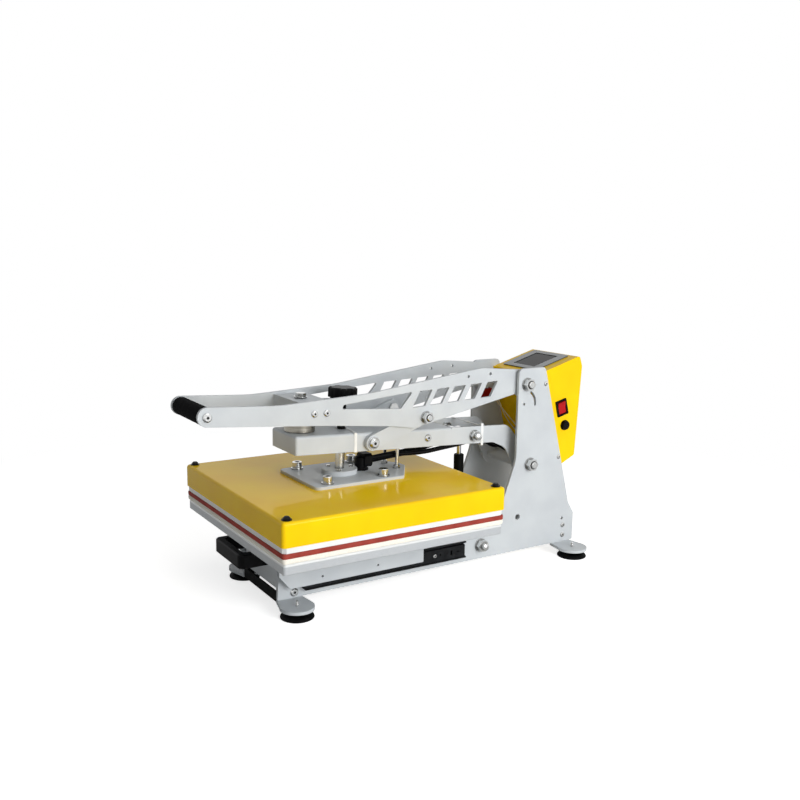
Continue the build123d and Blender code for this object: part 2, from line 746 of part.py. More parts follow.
def mounting_plate():
    """The thick plate that carries the platen, drawn in to a nose at the back."""
    face = outline(
        [
            (-MOUNT_HALF, MOUNT_FRONT_Y, 10),
            (MOUNT_HALF, MOUNT_FRONT_Y, 10),
            (MOUNT_HALF, MOUNT_SHOULDER_Y, 8),
            (MOUNT_NOSE_HALF, MOUNT_NOSE_Y, 8),
            (-MOUNT_NOSE_HALF, MOUNT_NOSE_Y, 8),
            (-MOUNT_HALF, MOUNT_SHOULDER_Y, 8),
        ]
    )
    for x, y in BOLT_SPOTS:
        face -= Pos(x, y) * Circle(BOLT_R + SCREW_PLAY)
    plate = Pos(0, 0, COVER_TOP) * extrude(face, MOUNT_T)
    return chamfer(plate.faces().sort_by(Axis.Z)[-1].outer_wire().edges(), 0.8)


def hub_flange():
    """The round flange that traps the spindle's foot."""
    hub = bar_z(0, SPINDLE_Y, MOUNT_TOP, HUB_TOP, HUB_R)
    hub = chamfer(hub.faces().sort_by(Axis.Z)[-1].edges(), 0.8)
    hub -= bar_z(0, SPINDLE_Y, MOUNT_TOP, MOUNT_TOP + 5.5, SPINDLE_FOOT_R + 1.5)
    hub -= spindle_bar(-20, 20, SPINDLE_R + 0.4)
    return hub


def spindle_bar(z0, z1, radius):
    """A round bar on the spindle's leaning axis, z0 and z1 above the hub's top."""
    axis = Pos(0, SPINDLE_Y, HUB_TOP) * Rot(-ARM_TILT, 0, 0)
    return axis * Pos(0, 0, z0) * extrude(Circle(radius), z1 - z0)


def plate_bolts():
    """Socket-head bolts with washers, and the hub's small screws."""
    shapes = []
    for x, y in BOLT_SPOTS:
        z = MOUNT_TOP
        bolt = bar_z(x, y, z, z + BOLT_WASHER_T, BOLT_HEAD_R + 2)
        bolt += bar_z(x, y, z + BOLT_WASHER_T, BOLT_TOP, BOLT_HEAD_R)
        bolt = chamfer(bolt.faces().sort_by(Axis.Z)[-1].edges(), 0.7)
        bolt -= Pos(x, y, BOLT_TOP - BOLT_HEAD_T / 2) * extrude(RegularPolygon(BOLT_R * 0.92, 6), BOLT_HEAD_T)
        bolt += bar_z(x, y, HEAT_Z + HEAT_PLATEN_T + 4, z, BOLT_R)
        shapes.append(bolt)
    for turn in HUB_SCREW_ANGLES:
        angle = math.radians(turn)
        x = HUB_SCREW_RING * math.cos(angle)
        y = SPINDLE_Y + HUB_SCREW_RING * math.sin(angle)
        head = bar_z(x, y, HUB_TOP, HUB_TOP + 2.6, 3.6)
        shapes.append(chamfer(head.faces().sort_by(Axis.Z)[-1].edges(), 1.4))
    return group(shapes)


def guide_rods():
    """Threaded rods with locking nuts that keep the head from turning under the arm."""
    shapes = []
    for x in (-ROD_X, ROD_X):
        rod = spindle_rod(x)
        nut = Pos(x, ROD_Y, MOUNT_TOP) * extrude(RegularPolygon(5, 6, major_radius=False), 5)
        washer = bar_z(x, ROD_Y, MOUNT_TOP, MOUNT_TOP + 1.2, 6.5)
        shapes.append(rod + nut + washer)
    return group(shapes)


def spindle_rod(x):
    axis = Pos(x, ROD_Y, MOUNT_TOP) * Rot(-ARM_TILT, 0, 0)
    rod = axis * extrude(Circle(ROD_R), ROD_TOP - MOUNT_TOP)
    return rod


def heater_elbow():
    """A moulded elbow on the mounting plate, where both cables leave to the back."""
    post = bar_z(0, ELBOW_Y, MOUNT_TOP, MOUNT_TOP + 24, ELBOW_R)
    post = chamfer(post.faces().sort_by(Axis.Z)[-1].edges(), 3.0)
    flange = Pos(0, ELBOW_Y, MOUNT_TOP) * extrude(RegularPolygon(12.5, 6), 4)
    nose = block(-14, 13, ELBOW_Y, ELBOW_Y + 15, MOUNT_TOP + 6, MOUNT_TOP + 28)
    nose = chamfer(nose.edges().filter_by(Axis.Y), 4.0)
    body = post + flange + nose
    for route, radius in ((HEATER_HEAD, HEATER_CABLE_R), (SENSOR_HEAD, SENSOR_CABLE_R)):
        body -= Pos(route[0]) * Rot(90, 0, 0) * Cylinder(radius + FACE_GAP, 8)
    return body


def pressure_spindle():
    """The threaded spindle with the foot that the hub traps."""
    foot_low = MOUNT_TOP + 1.2 - HUB_TOP
    spindle = spindle_bar(foot_low, foot_low + 3.0, SPINDLE_FOOT_R)
    spindle += spindle_bar(foot_low, arm_rise() - 2, SPINDLE_R)
    spindle += spindle_bar(arm_rise() - 2, knob_rise() + KNOB_H * 0.5, SPINDLE_TOP_R)
    return spindle


def arm_rise():
    """How far above the hub the spindle meets the arm's top."""
    return (arm_top(SPINDLE_Y) - HUB_TOP) * math.cos(math.radians(ARM_TILT))


def knob_rise():
    return KNOB_BASE_Z - HUB_TOP


def pressure_knob():
    """A lobed knob with a long hub round the spindle."""
    low = knob_rise()
    face = Circle(KNOB_R)
    for i in range(KNOB_LOBES):
        face -= Rot(0, 0, 360 / KNOB_LOBES * i) * Pos(KNOB_R + 5.5, 0) * Circle(9)
    axis = Pos(0, SPINDLE_Y, HUB_TOP) * Rot(-ARM_TILT, 0, 0)
    head = axis * Pos(0, 0, low) * extrude(face, KNOB_H)
    tops = head.faces().sort_by(Axis.Z)
    head = chamfer(tops[-1].edges(), 2.2)
    sleeve = spindle_bar(arm_rise() + 1.0, low, SLEEVE_R)
    knob = head + sleeve
    return knob - spindle_bar(arm_rise(), low + KNOB_H * 0.5, SPINDLE_TOP_R)


# Press arm


def press_arm():
    """A folded channel whose cheeks run back and down to the arm pivot."""
    front = outline(
        [
            (ARM_FRONT_Y, arm_low(ARM_FRONT_Y), 0),
            (ARM_WEB_END_Y, arm_low(ARM_WEB_END_Y), 0),
            (ARM_WEB_END_Y, arm_top(ARM_WEB_END_Y), 0),
            (ARM_FRONT_Y, arm_top(ARM_FRONT_Y), 0),
        ]
    )
    box = side_prism(front, -ARM_X, ARM_X)
    rounded = [edge for edge in box.edges() if is_arm_fold(edge)]
    box = fillet(rounded, ARM_CORNER_R)
    hollow = outline(
        [
            (ARM_FRONT_Y + ARM_WALL, arm_low(ARM_FRONT_Y) - 5, 0),
            (ARM_WEB_END_Y + 5, arm_low(ARM_WEB_END_Y) - 5, 0),
            (ARM_WEB_END_Y + 5, arm_top(ARM_WEB_END_Y + 5) - ARM_WALL, 0),
            (ARM_FRONT_Y + ARM_WALL, arm_top(ARM_FRONT_Y + ARM_WALL) - ARM_WALL, 0),
        ]
    )
    box -= side_prism(hollow, -ARM_IN, ARM_IN)
    arm = box
    cheek = side_prism(arm_cheek() - Pos(*SPRING_TOP) * Circle(SPRING_PIN_R + SCREW_PLAY), ARM_IN, ARM_X)
    for side in both_sides(cheek):
        arm += side
    arm += rod_x(-ARM_X, ARM_X, ARM_PIVOT, ARM_TUBE_R)
    arm -= rod_x(-ARM_X, ARM_X, ARM_PIVOT, PIN_R + RUN_FIT)
    arm -= spindle_bar(arm_rise() - 8, arm_rise() + 8, NUT_BLOCK_R)
    return arm + guide_strip()


def is_arm_fold(edge):
    """The long top edges and the front edges of the arm's channel are rounded folds."""
    at = edge.center()
    on_side = abs(abs(at.X) - ARM_X) < 0.01
    on_top = abs(at.Z - arm_top(at.Y)) < 0.01
    on_front = abs(at.Y - ARM_FRONT_Y) < 0.01
    return (on_side and (on_top or on_front)) or (on_top and on_front)


def arm_cheek():
    """The cheek's outline from the end of the channel to the eye at the pivot."""
    py, pz = ARM_PIVOT
    y0 = ARM_WEB_END_Y - 0.5
    face = outline(
        [
            (y0, arm_low(y0), 0),
            (478, arm_low(478), 22),
            (py - ARM_EYE_R - 17, pz + 30, 30),
            (py - ARM_EYE_R, pz, 0),
            (py, pz, 0),
            (py + 16, pz + 13.6, 0),
            (py - 29, pz + 66, 16),
            (py - 39, arm_top(py - 39), 12),
            (y0, arm_top(y0), 0),
        ]
    )
    return face + Pos(py, pz) * Circle(ARM_EYE_R)


def spindle_nut():
    """The threaded bush welded through the arm's top."""
    bush = spindle_bar(arm_rise() - NUT_BLOCK_H, arm_rise(), NUT_BLOCK_R)
    return bush - spindle_bar(arm_rise() - NUT_BLOCK_H, arm_rise(), SPINDLE_R + RUN_FIT)


def guide_strip():
    """A cross strip welded inside the arm, with holes for the guide rods."""
    z = arm_low(ROD_Y) + 8
    strip = block(-ARM_IN, ARM_IN, ROD_Y - 9, ROD_Y + 13, z, z + 4)
    for x in (-ROD_X, ROD_X):
        axis = Pos(x, ROD_Y, MOUNT_TOP) * Rot(-ARM_TILT, 0, 0)
        strip -= axis * extrude(Circle(ROD_R + 0.4), ROD_TOP - MOUNT_TOP)
    return strip


def arm_screws():
    """A cross bar with its screws, and the nuts over the gas spring's top pin."""
    shapes = []
    bar = rod_x(-ARM_IN, ARM_IN, ARM_SCREW, 5.0)
    shapes.append(bar)
    shapes += both_sides(button_head(ARM_X, ARM_SCREW, 6.2, 3.6))
    nut = ring_x(ARM_X, ARM_X + WASHER_T, SPRING_TOP, WASHER_R - 1.5, SPRING_PIN_R)
    nut += hex_x(ARM_X + WASHER_T, ARM_X + WASHER_T + SPRING_NUT_T, SPRING_TOP, SMALL_NUT_AF, SPRING_PIN_R)
    nut += rod_x(ARM_IN - SPRING_NUT_T, ARM_X + WASHER_T + SPRING_NUT_T, SPRING_TOP, SPRING_PIN_R)
    nut += cap(ARM_X + WASHER_T + SPRING_NUT_T, SPRING_TOP)
    nut += hex_x(ARM_IN - SPRING_NUT_T, ARM_IN, SPRING_TOP, SMALL_NUT_AF, SPRING_PIN_R)
    shapes += both_sides(nut)
    return group(shapes)


def arm_wrap(y, length, grow, sag):
    """The arm's outside round station y, grown all round and sagging below."""
    y0 = y - length / 2
    y1 = y + length / 2
    face = outline(
        [
            (y0, arm_low(y0) - grow - sag, 0),
            (y1, arm_low(y1) - grow - sag, 0),
            (y1, arm_top(y1) + grow, 0),
            (y0, arm_top(y0) + grow, 0),
        ]
    )
    return side_prism(face, -ARM_X - grow, ARM_X + grow)


def cable_ties():
    """Two flat cable ties round the arm; the front one lies aslant, clear of the spindle."""
    shapes = []
    for y, lean, sag in ((TIE_FRONT_Y, TIE_LEAN, 0), (TIE_REAR_Y, 0, TIE_SAG)):
        band = arm_wrap(y, 50, TIE_GAP + TIE_T, sag) - arm_wrap(y, 60, TIE_GAP, sag)
        slab = Pos(0, y, 250) * Rot(0, 0, lean) * Box(130, TIE_W, 100)
        shapes.append(band & slab)
    return group(shapes)


# Lever


def lever_plate():
    """A laser-cut lever plate with its triangular window and five slanted ones."""
    py, pz = LEVER_PIVOT
    hy, hz = HANDLE_PIVOT
    top = zip(LEVER_TOP_EDGE, (LEVER_BEND_R, LEVER_BEND_R, LEVER_BEND_R * 0.3))
    low = zip(LEVER_LOW_EDGE, (6, 12, LEVER_BEND_R / 3, LEVER_BEND_R))
    face = outline(
        [(hy, hz + LEVER_END_R, 0)]
        + [(*at, r) for at, r in top]
        + [(py, pz + LEVER_HEEL_R, 0), (py, pz - LEVER_HEEL_R / 2, 0)]
        + [(*at, r) for at, r in low]
        + [(hy, hz - LEVER_END_R, 0)]
    )
    face += Pos(hy, hz) * Circle(LEVER_END_R)
    face += Pos(py, pz) * Circle(LEVER_HEEL_R)
    face -= lever_window_triangle()
    for i in range(WINDOW_COUNT):
        face -= lever_window(i)
    for at, r in ((HANDLE_PIVOT, SCREW_8), (LEVER_PIVOT, PIN_R + RUN_FIT), (LINK_UPPER, LINK_PIN_R)):
        face -= Pos(*at) * Circle(r)
    for at in BRACKET_SCREWS:
        face -= Pos(*at) * Circle(SCREW_6 + SCREW_PLAY)
    for at in LEVER_HOLES:
        face -= Pos(*at) * Circle(2.6)
    return side_prism(face, LEVER_IN, LEVER_OUT)


def lever_window(i):
    y, z = WINDOW_START
    y += WINDOW_PITCH * i
    z += WINDOW_RISE * WINDOW_PITCH * i
    width = WINDOW_W - 0.8 * i
    lift = WINDOW_RISE * width
    return outline(
        [
            (y, z, 1.2),
            (y + width, z + lift, 1.2),
            (y + width + WINDOW_LEAN, z + lift + WINDOW_H, 1.2),
            (y + WINDOW_LEAN, z + WINDOW_H, 1.2),
        ]
    )


def lever_window_triangle():
    return outline([(*at, 2.0) for at in TRIANGLE_WINDOW])


def lever_pivot_tube():
    return ring_x(-LEVER_IN, LEVER_IN, LEVER_PIVOT, PIN_R + 4, PIN_R + RUN_FIT)


def cross_bracket():
    """An inverted tray between the lever plates that carries the magnet."""
    y0, y1 = BRACKET_Y
    outer = block(-LEVER_IN, LEVER_IN, y0, y1, BRACKET_LOW, BRACKET_TOP)
    t = SHEET_T
    tray = outer - block(-LEVER_IN + t, LEVER_IN - t, y0 + t, y1, BRACKET_LOW, BRACKET_TOP - t)
    for at in BRACKET_SCREWS:
        tray -= rod_x(-LEVER_IN, LEVER_IN, at, SCREW_6 + SCREW_PLAY)
    tray -= magnet_bar(-60, 60, SCREW_10)
    return tray


def magnet_bar(z0, z1, radius):
    """A round bar on the magnet's axis, measured from the arm's top."""
    axis = Pos(0, MAGNET_Y, arm_top(MAGNET_Y)) * Rot(-ARM_TILT, 0, 0)
    return axis * Pos(0, 0, z0) * extrude(Circle(radius), z1 - z0)


def electromagnet():
    """A turned pot magnet that holds the arm down; its face meets the arm's top."""
    pot = magnet_bar(FACE_GAP, MAGNET_T, MAGNET_R)
    pot = chamfer(pot.edges().filter_by(GeomType.CIRCLE), 0.8)
    return pot - magnet_bar(MAGNET_T - 12, MAGNET_T, SCREW_10)


def handle_tube():
    x = LEVER_IN
    return ring_x(-x, x, HANDLE_PIVOT, GRIP_TUBE_R, SCREW_8)


def handle_grip():
    grip = ring_x(-LEVER_IN + 0.3, LEVER_IN - 0.3, HANDLE_PIVOT, GRIP_R, GRIP_TUBE_R)
    rims = [edge for edge in grip.edges().filter_by(GeomType.CIRCLE) if edge.radius > GRIP_R - 1]
    return chamfer(rims, 1.2)


def lever_screws():
    """Handle bolt, bracket screws, link bolts and the magnet's bolt."""
    shapes = []
    handle = rod_x(-LEVER_OUT, LEVER_OUT, HANDLE_PIVOT, SCREW_8)
    for head in both_sides(button_head(LEVER_OUT, HANDLE_PIVOT, 7.0, 3.8)):
        handle += head
    shapes.append(handle)
    for at in BRACKET_SCREWS:
        screw = button_head(LEVER_OUT, at, 5.4, 3.0)
        screw += rod_x(LEVER_IN - SHEET_T - 4, LEVER_OUT, at, SCREW_6)
        shapes += both_sides(screw)
    shapes += both_sides(link_bolt())
    shapes.append(magnet_bolt())
    return group(shapes)


def link_bolt():
    """The link's upper bolt: head inside, washer and nut on the lever's outer face."""
    inner = LEVER_IN - 1.0 - LINK_T
    bolt = rod_x(inner - FACE_GAP, LEVER_OUT + WASHER_T + 11, LINK_UPPER, LINK_PIN_R)
    bolt = chamfer(bolt.faces().sort_by(Axis.X)[-1].edges(), 1.0)
    bolt += hex_x(inner - FACE_GAP - 5, inner - FACE_GAP, LINK_UPPER, 15, LINK_PIN_R - 0.5)
    bolt += rod_x(inner - FACE_GAP - 5, inner - FACE_GAP, LINK_UPPER, LINK_PIN_R)
    nut = ring_x(LEVER_OUT, LEVER_OUT + WASHER_T, LINK_UPPER, 10.5, LINK_PIN_R)
    nut += hex_x(LEVER_OUT + WASHER_T, LEVER_OUT + WASHER_T + 8.5, LINK_UPPER, 17, LINK_PIN_R)
    return bolt + nut


def magnet_bolt():
    """Hexagon bolt, washer and spacer that hang the magnet from the bracket."""
    rise = BRACKET_TOP - arm_top(MAGNET_Y)
    bolt = magnet_bar(MAGNET_T - 12, rise + 3, SCREW_10)
    bolt += magnet_bar(MAGNET_T, rise - SHEET_T - 1.5, 8.0)
    bolt += magnet_bar(rise + 1.3, rise + 3, 10.5)
    axis = Pos(0, MAGNET_Y, arm_top(MAGNET_Y)) * Rot(-ARM_TILT, 0, 0)
    bolt += axis * Pos(0, 0, rise + 3) * extrude(RegularPolygon(7.5, 6, major_radius=False), 5.5)
    return bolt


# Toggle links


def link_plates():
    outer = LEVER_IN - 1.0
    a = Vector(*LINK_LOWER)
    b = Vector(*LINK_UPPER)
    angle = math.degrees(math.atan2(b.Y - a.Y, b.X - a.X))
    middle = (a + b) * 0.5
    face = Pos(middle.X, middle.Y) * Rot(0, 0, angle) * SlotCenterToCenter((b - a).length, LINK_W)
    face -= Pos(*LINK_UPPER) * Circle(LINK_PIN_R + RUN_FIT)
    face -= Pos(*LINK_LOWER) * Circle(LINK_PIN_R)
    return group(both_sides(side_prism(face, outer - LINK_T, outer)))


def link_pins():
    """The lower link screws, which turn with the links."""
    outer = LEVER_IN - 1.0
    pin = rod_x(outer - LINK_T, outer + 1.5, LINK_LOWER, LINK_PIN_R)
    pin += ring_x(outer, outer + 1.5, LINK_LOWER, 10.5, LINK_PIN_R)
    pin += button_head(outer + 1.5, LINK_LOWER, 8.0, 4.4)
    return group(both_sides(pin))


# Gas spring


def spring_axis():
    """A frame at the spring's foot whose Z runs to its top."""
    a = Vector(0, *SPRING_FOOT)
    b = Vector(0, *SPRING_TOP)
    return Plane(origin=a, x_dir=(1, 0, 0), z_dir=b - a), (b - a).length


def gas_cylinder():
    frame, _ = spring_axis()
    tube = frame * Pos(0, 0, 16) * extrude(Circle(CYLINDER_R), CYLINDER_LEN - 16)
    tube = chamfer(tube.edges().filter_by(GeomType.CIRCLE), 1.2)
    tube += frame * Pos(0, 0, 6) * extrude(Circle(4.5), 12)
    tube += rod_x(-SPRING_EYE_W / 2, SPRING_EYE_W / 2, SPRING_FOOT, SPRING_EYE_R)
    tube -= rod_x(-SPRING_EYE_W / 2, SPRING_EYE_W / 2, SPRING_FOOT, PIN_R + RUN_FIT)
    return tube - frame * Pos(0, 0, 62) * extrude(Circle(SPRING_ROD_R + RUN_FIT), CYLINDER_LEN)


def gas_rod():
    frame, length = spring_axis()
    rod = frame * Pos(0, 0, 66) * extrude(Circle(SPRING_ROD_R), length - 66 - 6)
    rod += rod_x(-SPRING_EYE_W / 2, SPRING_EYE_W / 2, SPRING_TOP, SPRING_EYE_R)
    reach = ARM_IN - SPRING_NUT_T - FACE_GAP
    rod += rod_x(-reach, reach, SPRING_TOP, SPRING_PIN_R)
    return rod


# Control box


def box_corners():
    return [
        (BOX_FRONT_TOP[0], BOX_FRONT_TOP[1], 3),
        (BOX_REAR_TOP[0], BOX_REAR_TOP[1], 5),
        (BOX_SHOULDER[0], BOX_SHOULDER[1], 6),
        (BOX_HEEL[0], BOX_HEEL[1], 5),
        (BOX_BOTTOM[0], BOX_BOTTOM[1], 3),
    ]


def box_shell():
    face = outline(box_corners())
    inner = offset(face, -BOX_WALL)
    outer_body = side_prism(face, -BOX_X, BOX_X)
    inner_body = side_prism(inner, -BOX_X + BOX_WALL, BOX_X - BOX_WALL)
    return outer_body - inner_body


def cover_zone():
    """The space behind and below the box, where its rear cover takes the wall's place."""
    back = BOX_SHOULDER[0] + 10
    high = BOX_SHOULDER[1] - SEAM
    under = BOX_BOTTOM[1] - 18
    front = BOX_BOTTOM[0] - 6
    seam = [
        (BOX_SHOULDER[0] - SEAM, high),
        (BOX_HEEL[0] - SEAM, BOX_HEEL[1] + SEAM),
        (front, BOX_BOTTOM[1] + 2),
    ]
    face = Polygon((back, high), *seam, (front, under), (back, under), align=None)
    return side_prism(face, -BOX_X + BOX_WALL, BOX_X - BOX_WALL)


def control_box():
    shell = box_shell() - cover_zone()
    shell -= top_frame() * Pos(0, 0, -5) * extrude(Rectangle(BEZEL_W - 8, BEZEL_D - 8), 10)
    window = side_frame(SWITCH_AT, SWITCH_TILT)
    shell -= window * Pos(0, 0, -5) * extrude(Rectangle(SWITCH_W - 2.2, SWITCH_H - 2.2), 10)
    shell -= rod_x(BOX_X - 5, BOX_X + 5, FUSE_AT, FUSE_R - 3)
    for at in BOX_SCREWS:
        shell -= rod_x(-BOX_X, BOX_X, at, SCREW_4 + SCREW_PLAY)
    for x, radius in ((HEATER_INLET_X, HEATER_CABLE_R), (SENSOR_INLET_X, SENSOR_CABLE_R)):
        shell -= box_inlet(x, BOX_CABLE_Z, radius + FACE_GAP)
    return shell - box_inlet(*WIRE_INLET, WIRE_INLET_R)


def box_inlet(x, z, radius):
    """A round hole through the box's front wall."""
    share = (z - BOX_BOTTOM[1]) / (BOX_FRONT_TOP[1] - BOX_BOTTOM[1])
    y = BOX_BOTTOM[0] + share * (BOX_FRONT_TOP[0] - BOX_BOTTOM[0])
    return Pos(x, y, z) * Rot(90, 0, 0) * Cylinder(radius, 20)


def box_rear_cover():
    cover = box_shell() & cover_zone()
    return cover - rear_frame() * Pos(0, 0, -10) * extrude(Circle(GLAND_R), 20)


def top_frame():
    """A frame on the box's sloping top, under the middle of the screen."""
    a = Vector(0, *BOX_FRONT_TOP)
    b = Vector(0, *BOX_REAR_TOP)
    along = (b - a).normalized()
    middle = a + along * (SCREEN_INSET + BEZEL_D / 2)
    return Plane(origin=middle + Vector(BEZEL_X, 0, 0), x_dir=(1, 0, 0), z_dir=Vector(1, 0, 0).cross(along))


def screen_bezel():
    plate = RectangleRounded(BEZEL_W, BEZEL_D, 3) - RectangleRounded(SCREEN_W, SCREEN_D, 1.5)
    bezel = top_frame() * extrude(plate, BEZEL_T)
    return bezel


def touch_screen():
    glass = top_frame() * Pos(0, 0, -4) * extrude(Rectangle(BEZEL_W - 10, BEZEL_D - 10), 4)
    return glass + top_frame() * extrude(RectangleRounded(SCREEN_W, SCREEN_D, 1.5), 1.2)


def side_frame(at, tilt):
    """A frame on the box's right face, turned by tilt about the outward direction."""
    plane = Plane(origin=(BOX_X, at[0], at[1]), x_dir=(0, 1, 0), z_dir=(1, 0, 0))
    return plane * Rot(0, 0, tilt)


def panel_fittings():
    """The rocker's frame and the fuse holder's body, both snapped into the box."""
    frame = side_frame(SWITCH_AT, SWITCH_TILT)
    well = Rectangle(ROCKER_W + 0.8, ROCKER_H + 2 * ROCKER_PLAY)
    rim = extrude(RectangleRounded(SWITCH_W, SWITCH_H, 1.5) - well, 2.0)
    snap = Rectangle(SWITCH_W - 2.4, SWITCH_H - 2.4)
    body = Pos(0, 0, -22) * extrude(snap - well, 22)
    floor = Pos(0, 0, -24) * extrude(snap, 2)
    holder = ring_x(BOX_X - 20, BOX_X, FUSE_AT, FUSE_R - 3.1, 5.2)
    holder += ring_x(BOX_X, BOX_X + 1.6, FUSE_AT, FUSE_R, 5.2)
    return group([frame * (rim + body + floor), holder])


def power_rocker():
    """The rocker, tilted about its pin so that its lower end is pressed in."""
    half = ROCKER_H / 2
    face = outline(
        [
            (-half, 2.2, 0.8),
            (-half + 2.5, -7, 1),
            (half - 2.5, -7, 1),
            (half, 2.2, 0.8),
            (0, 1.0, 10),
        ]
    )
    body = extrude(Plane.YZ * face, ROCKER_W / 2, both=True)
    pin = Pos(0, 0, ROCKER_PIN)
    return side_frame(SWITCH_AT, SWITCH_TILT) * pin * Rot(ROCKER_TILT, 0, 0) * pin.inverse() * body


def fuse_cap():
    disc = rod_x(BOX_X + 1.6 + FACE_GAP, BOX_X + 6.5, FUSE_AT, FUSE_R - 1.8)
    disc = chamfer(disc.faces().sort_by(Axis.X)[-1].edges(), 0.8)
    disc += rod_x(BOX_X - 10, BOX_X + 2, FUSE_AT, 5.2 - RUN_FIT)
    return disc - Pos(BOX_X + 6.5, *FUSE_AT) * Box(2.0, 10, 1.6)


def rear_frame():
    """A frame on the rear wall at the power gland, looking out."""
    low = Vector(0, *BOX_HEEL)
    high = Vector(0, *BOX_SHOULDER)
    up = (high - low).normalized()
    at = low + up * ((GLAND_Z - low.Z) / up.Z) + Vector(GLAND_X, 0, 0)
    return Plane(origin=at, x_dir=(1, 0, 0), z_dir=up.cross(Vector(1, 0, 0)))


def power_gland():
    """The gland for the power cord, on the rear cover."""
    seat = rear_frame()
    gland = seat * extrude(RegularPolygon(9, 6), 5)
    gland += seat * Pos(0, 0, -14) * extrude(Circle(GLAND_R - SCREW_PLAY), 16)
    gland += seat * Pos(0, 0, 5) * extrude(Circle(7.5), GLAND_LEN)
    return gland - seat * Pos(0, 0, -14) * extrude(Circle(3.6), 40)


# Cables


def cable(points, radius):
    """A tube along straight runs whose joining arcs are as large as the runs allow."""
    vectors = [Vector(*p) for p in points]
    radii = []
    for a, b, c in zip(vectors, vectors[1:], vectors[2:]):
        turn = math.radians((b - a).get_angle(c - b))
        shorter = min((b - a).length, (c - b).length)
        radii.append(0.45 * shorter / math.tan(turn / 2))
    path = FilletPolyline(*points, radius=radii)
    section = Plane(origin=path @ 0, z_dir=path % 0) * Circle(radius)
    tube = sweep(section, path=path)
    expected = math.pi * radius**2 * path.length
    print("cable", round(tube.volume / expected, 4), "radii", [round(r) for r in radii])
    return tube


HEATER_HEAD = [(-6, 247, 202), (-7, 270.5, 203.3), (-9.6, 294, 204.6), (-12.7, 317, 204.5)]
HEATER_ARM = [
    (-12.9, 318.1, 204.5),
    (-17, 352, 206.3),
    (-21, 390, 213),
    (-23, 428, 216.5),
    (-22.5, 454, 225),
    (-22, 484, 221.5),
    (-22, 510, 208),
    (-22, 532, 195),
]
HEATER_TAIL = [
    (HEATER_INLET_X, 558, 196),
    (HEATER_INLET_X, 573, 201.6),
    (HEATER_INLET_X, 588, BOX_CABLE_Z),
    (HEATER_INLET_X, 603, BOX_CABLE_Z),
]
SENSOR_HEAD = [(6, 247, 208), (6.8, 270.5, 209.8), (8.6, 294, 210.3), (11, 317, 209.3)]
SENSOR_ARM = [
    (11.1, 318.1, 209.3),
    (14.5, 352, 208.7),
    (18, 390, 213.5),
    (20, 428, 217.2),
    (20.5, 454, 222.8),
    (20, 484, 218.2),
    (20, 510, 206.5),
    (20, 532, 193),
]
SENSOR_TAIL = [
    (SENSOR_INLET_X, 558, 197),
    (SENSOR_INLET_X, 573, 201.8),
    (SENSOR_INLET_X, 588, BOX_CABLE_Z),
    (SENSOR_INLET_X, 603, BOX_CABLE_Z),
]
WIRES = [
    [
        (-60, SWITCH_BOX_Y[1] + WIRE_R, 282.5),
        (-58.5, 562, 273),
        (-51.5, 570.5, 259.5),
        (-39.5, 576.5, 246),
        (-26, 582.5, 232.5),
        (-19, 591, 219),
        (-18, 603, 212.5),
    ],
    [
        (-57, SWITCH_BOX_Y[1] + WIRE_R, 289.5),
        (-56, 563, 280.5),
        (-54, 569.5, 267),
        (-50, 573.5, 252),
        (-43, 578, 237.5),
        (-32.5, 584.5, 223),
        (-24.5, 592, 213.5),
        (-20.5, 603, 210.2),
    ],
]


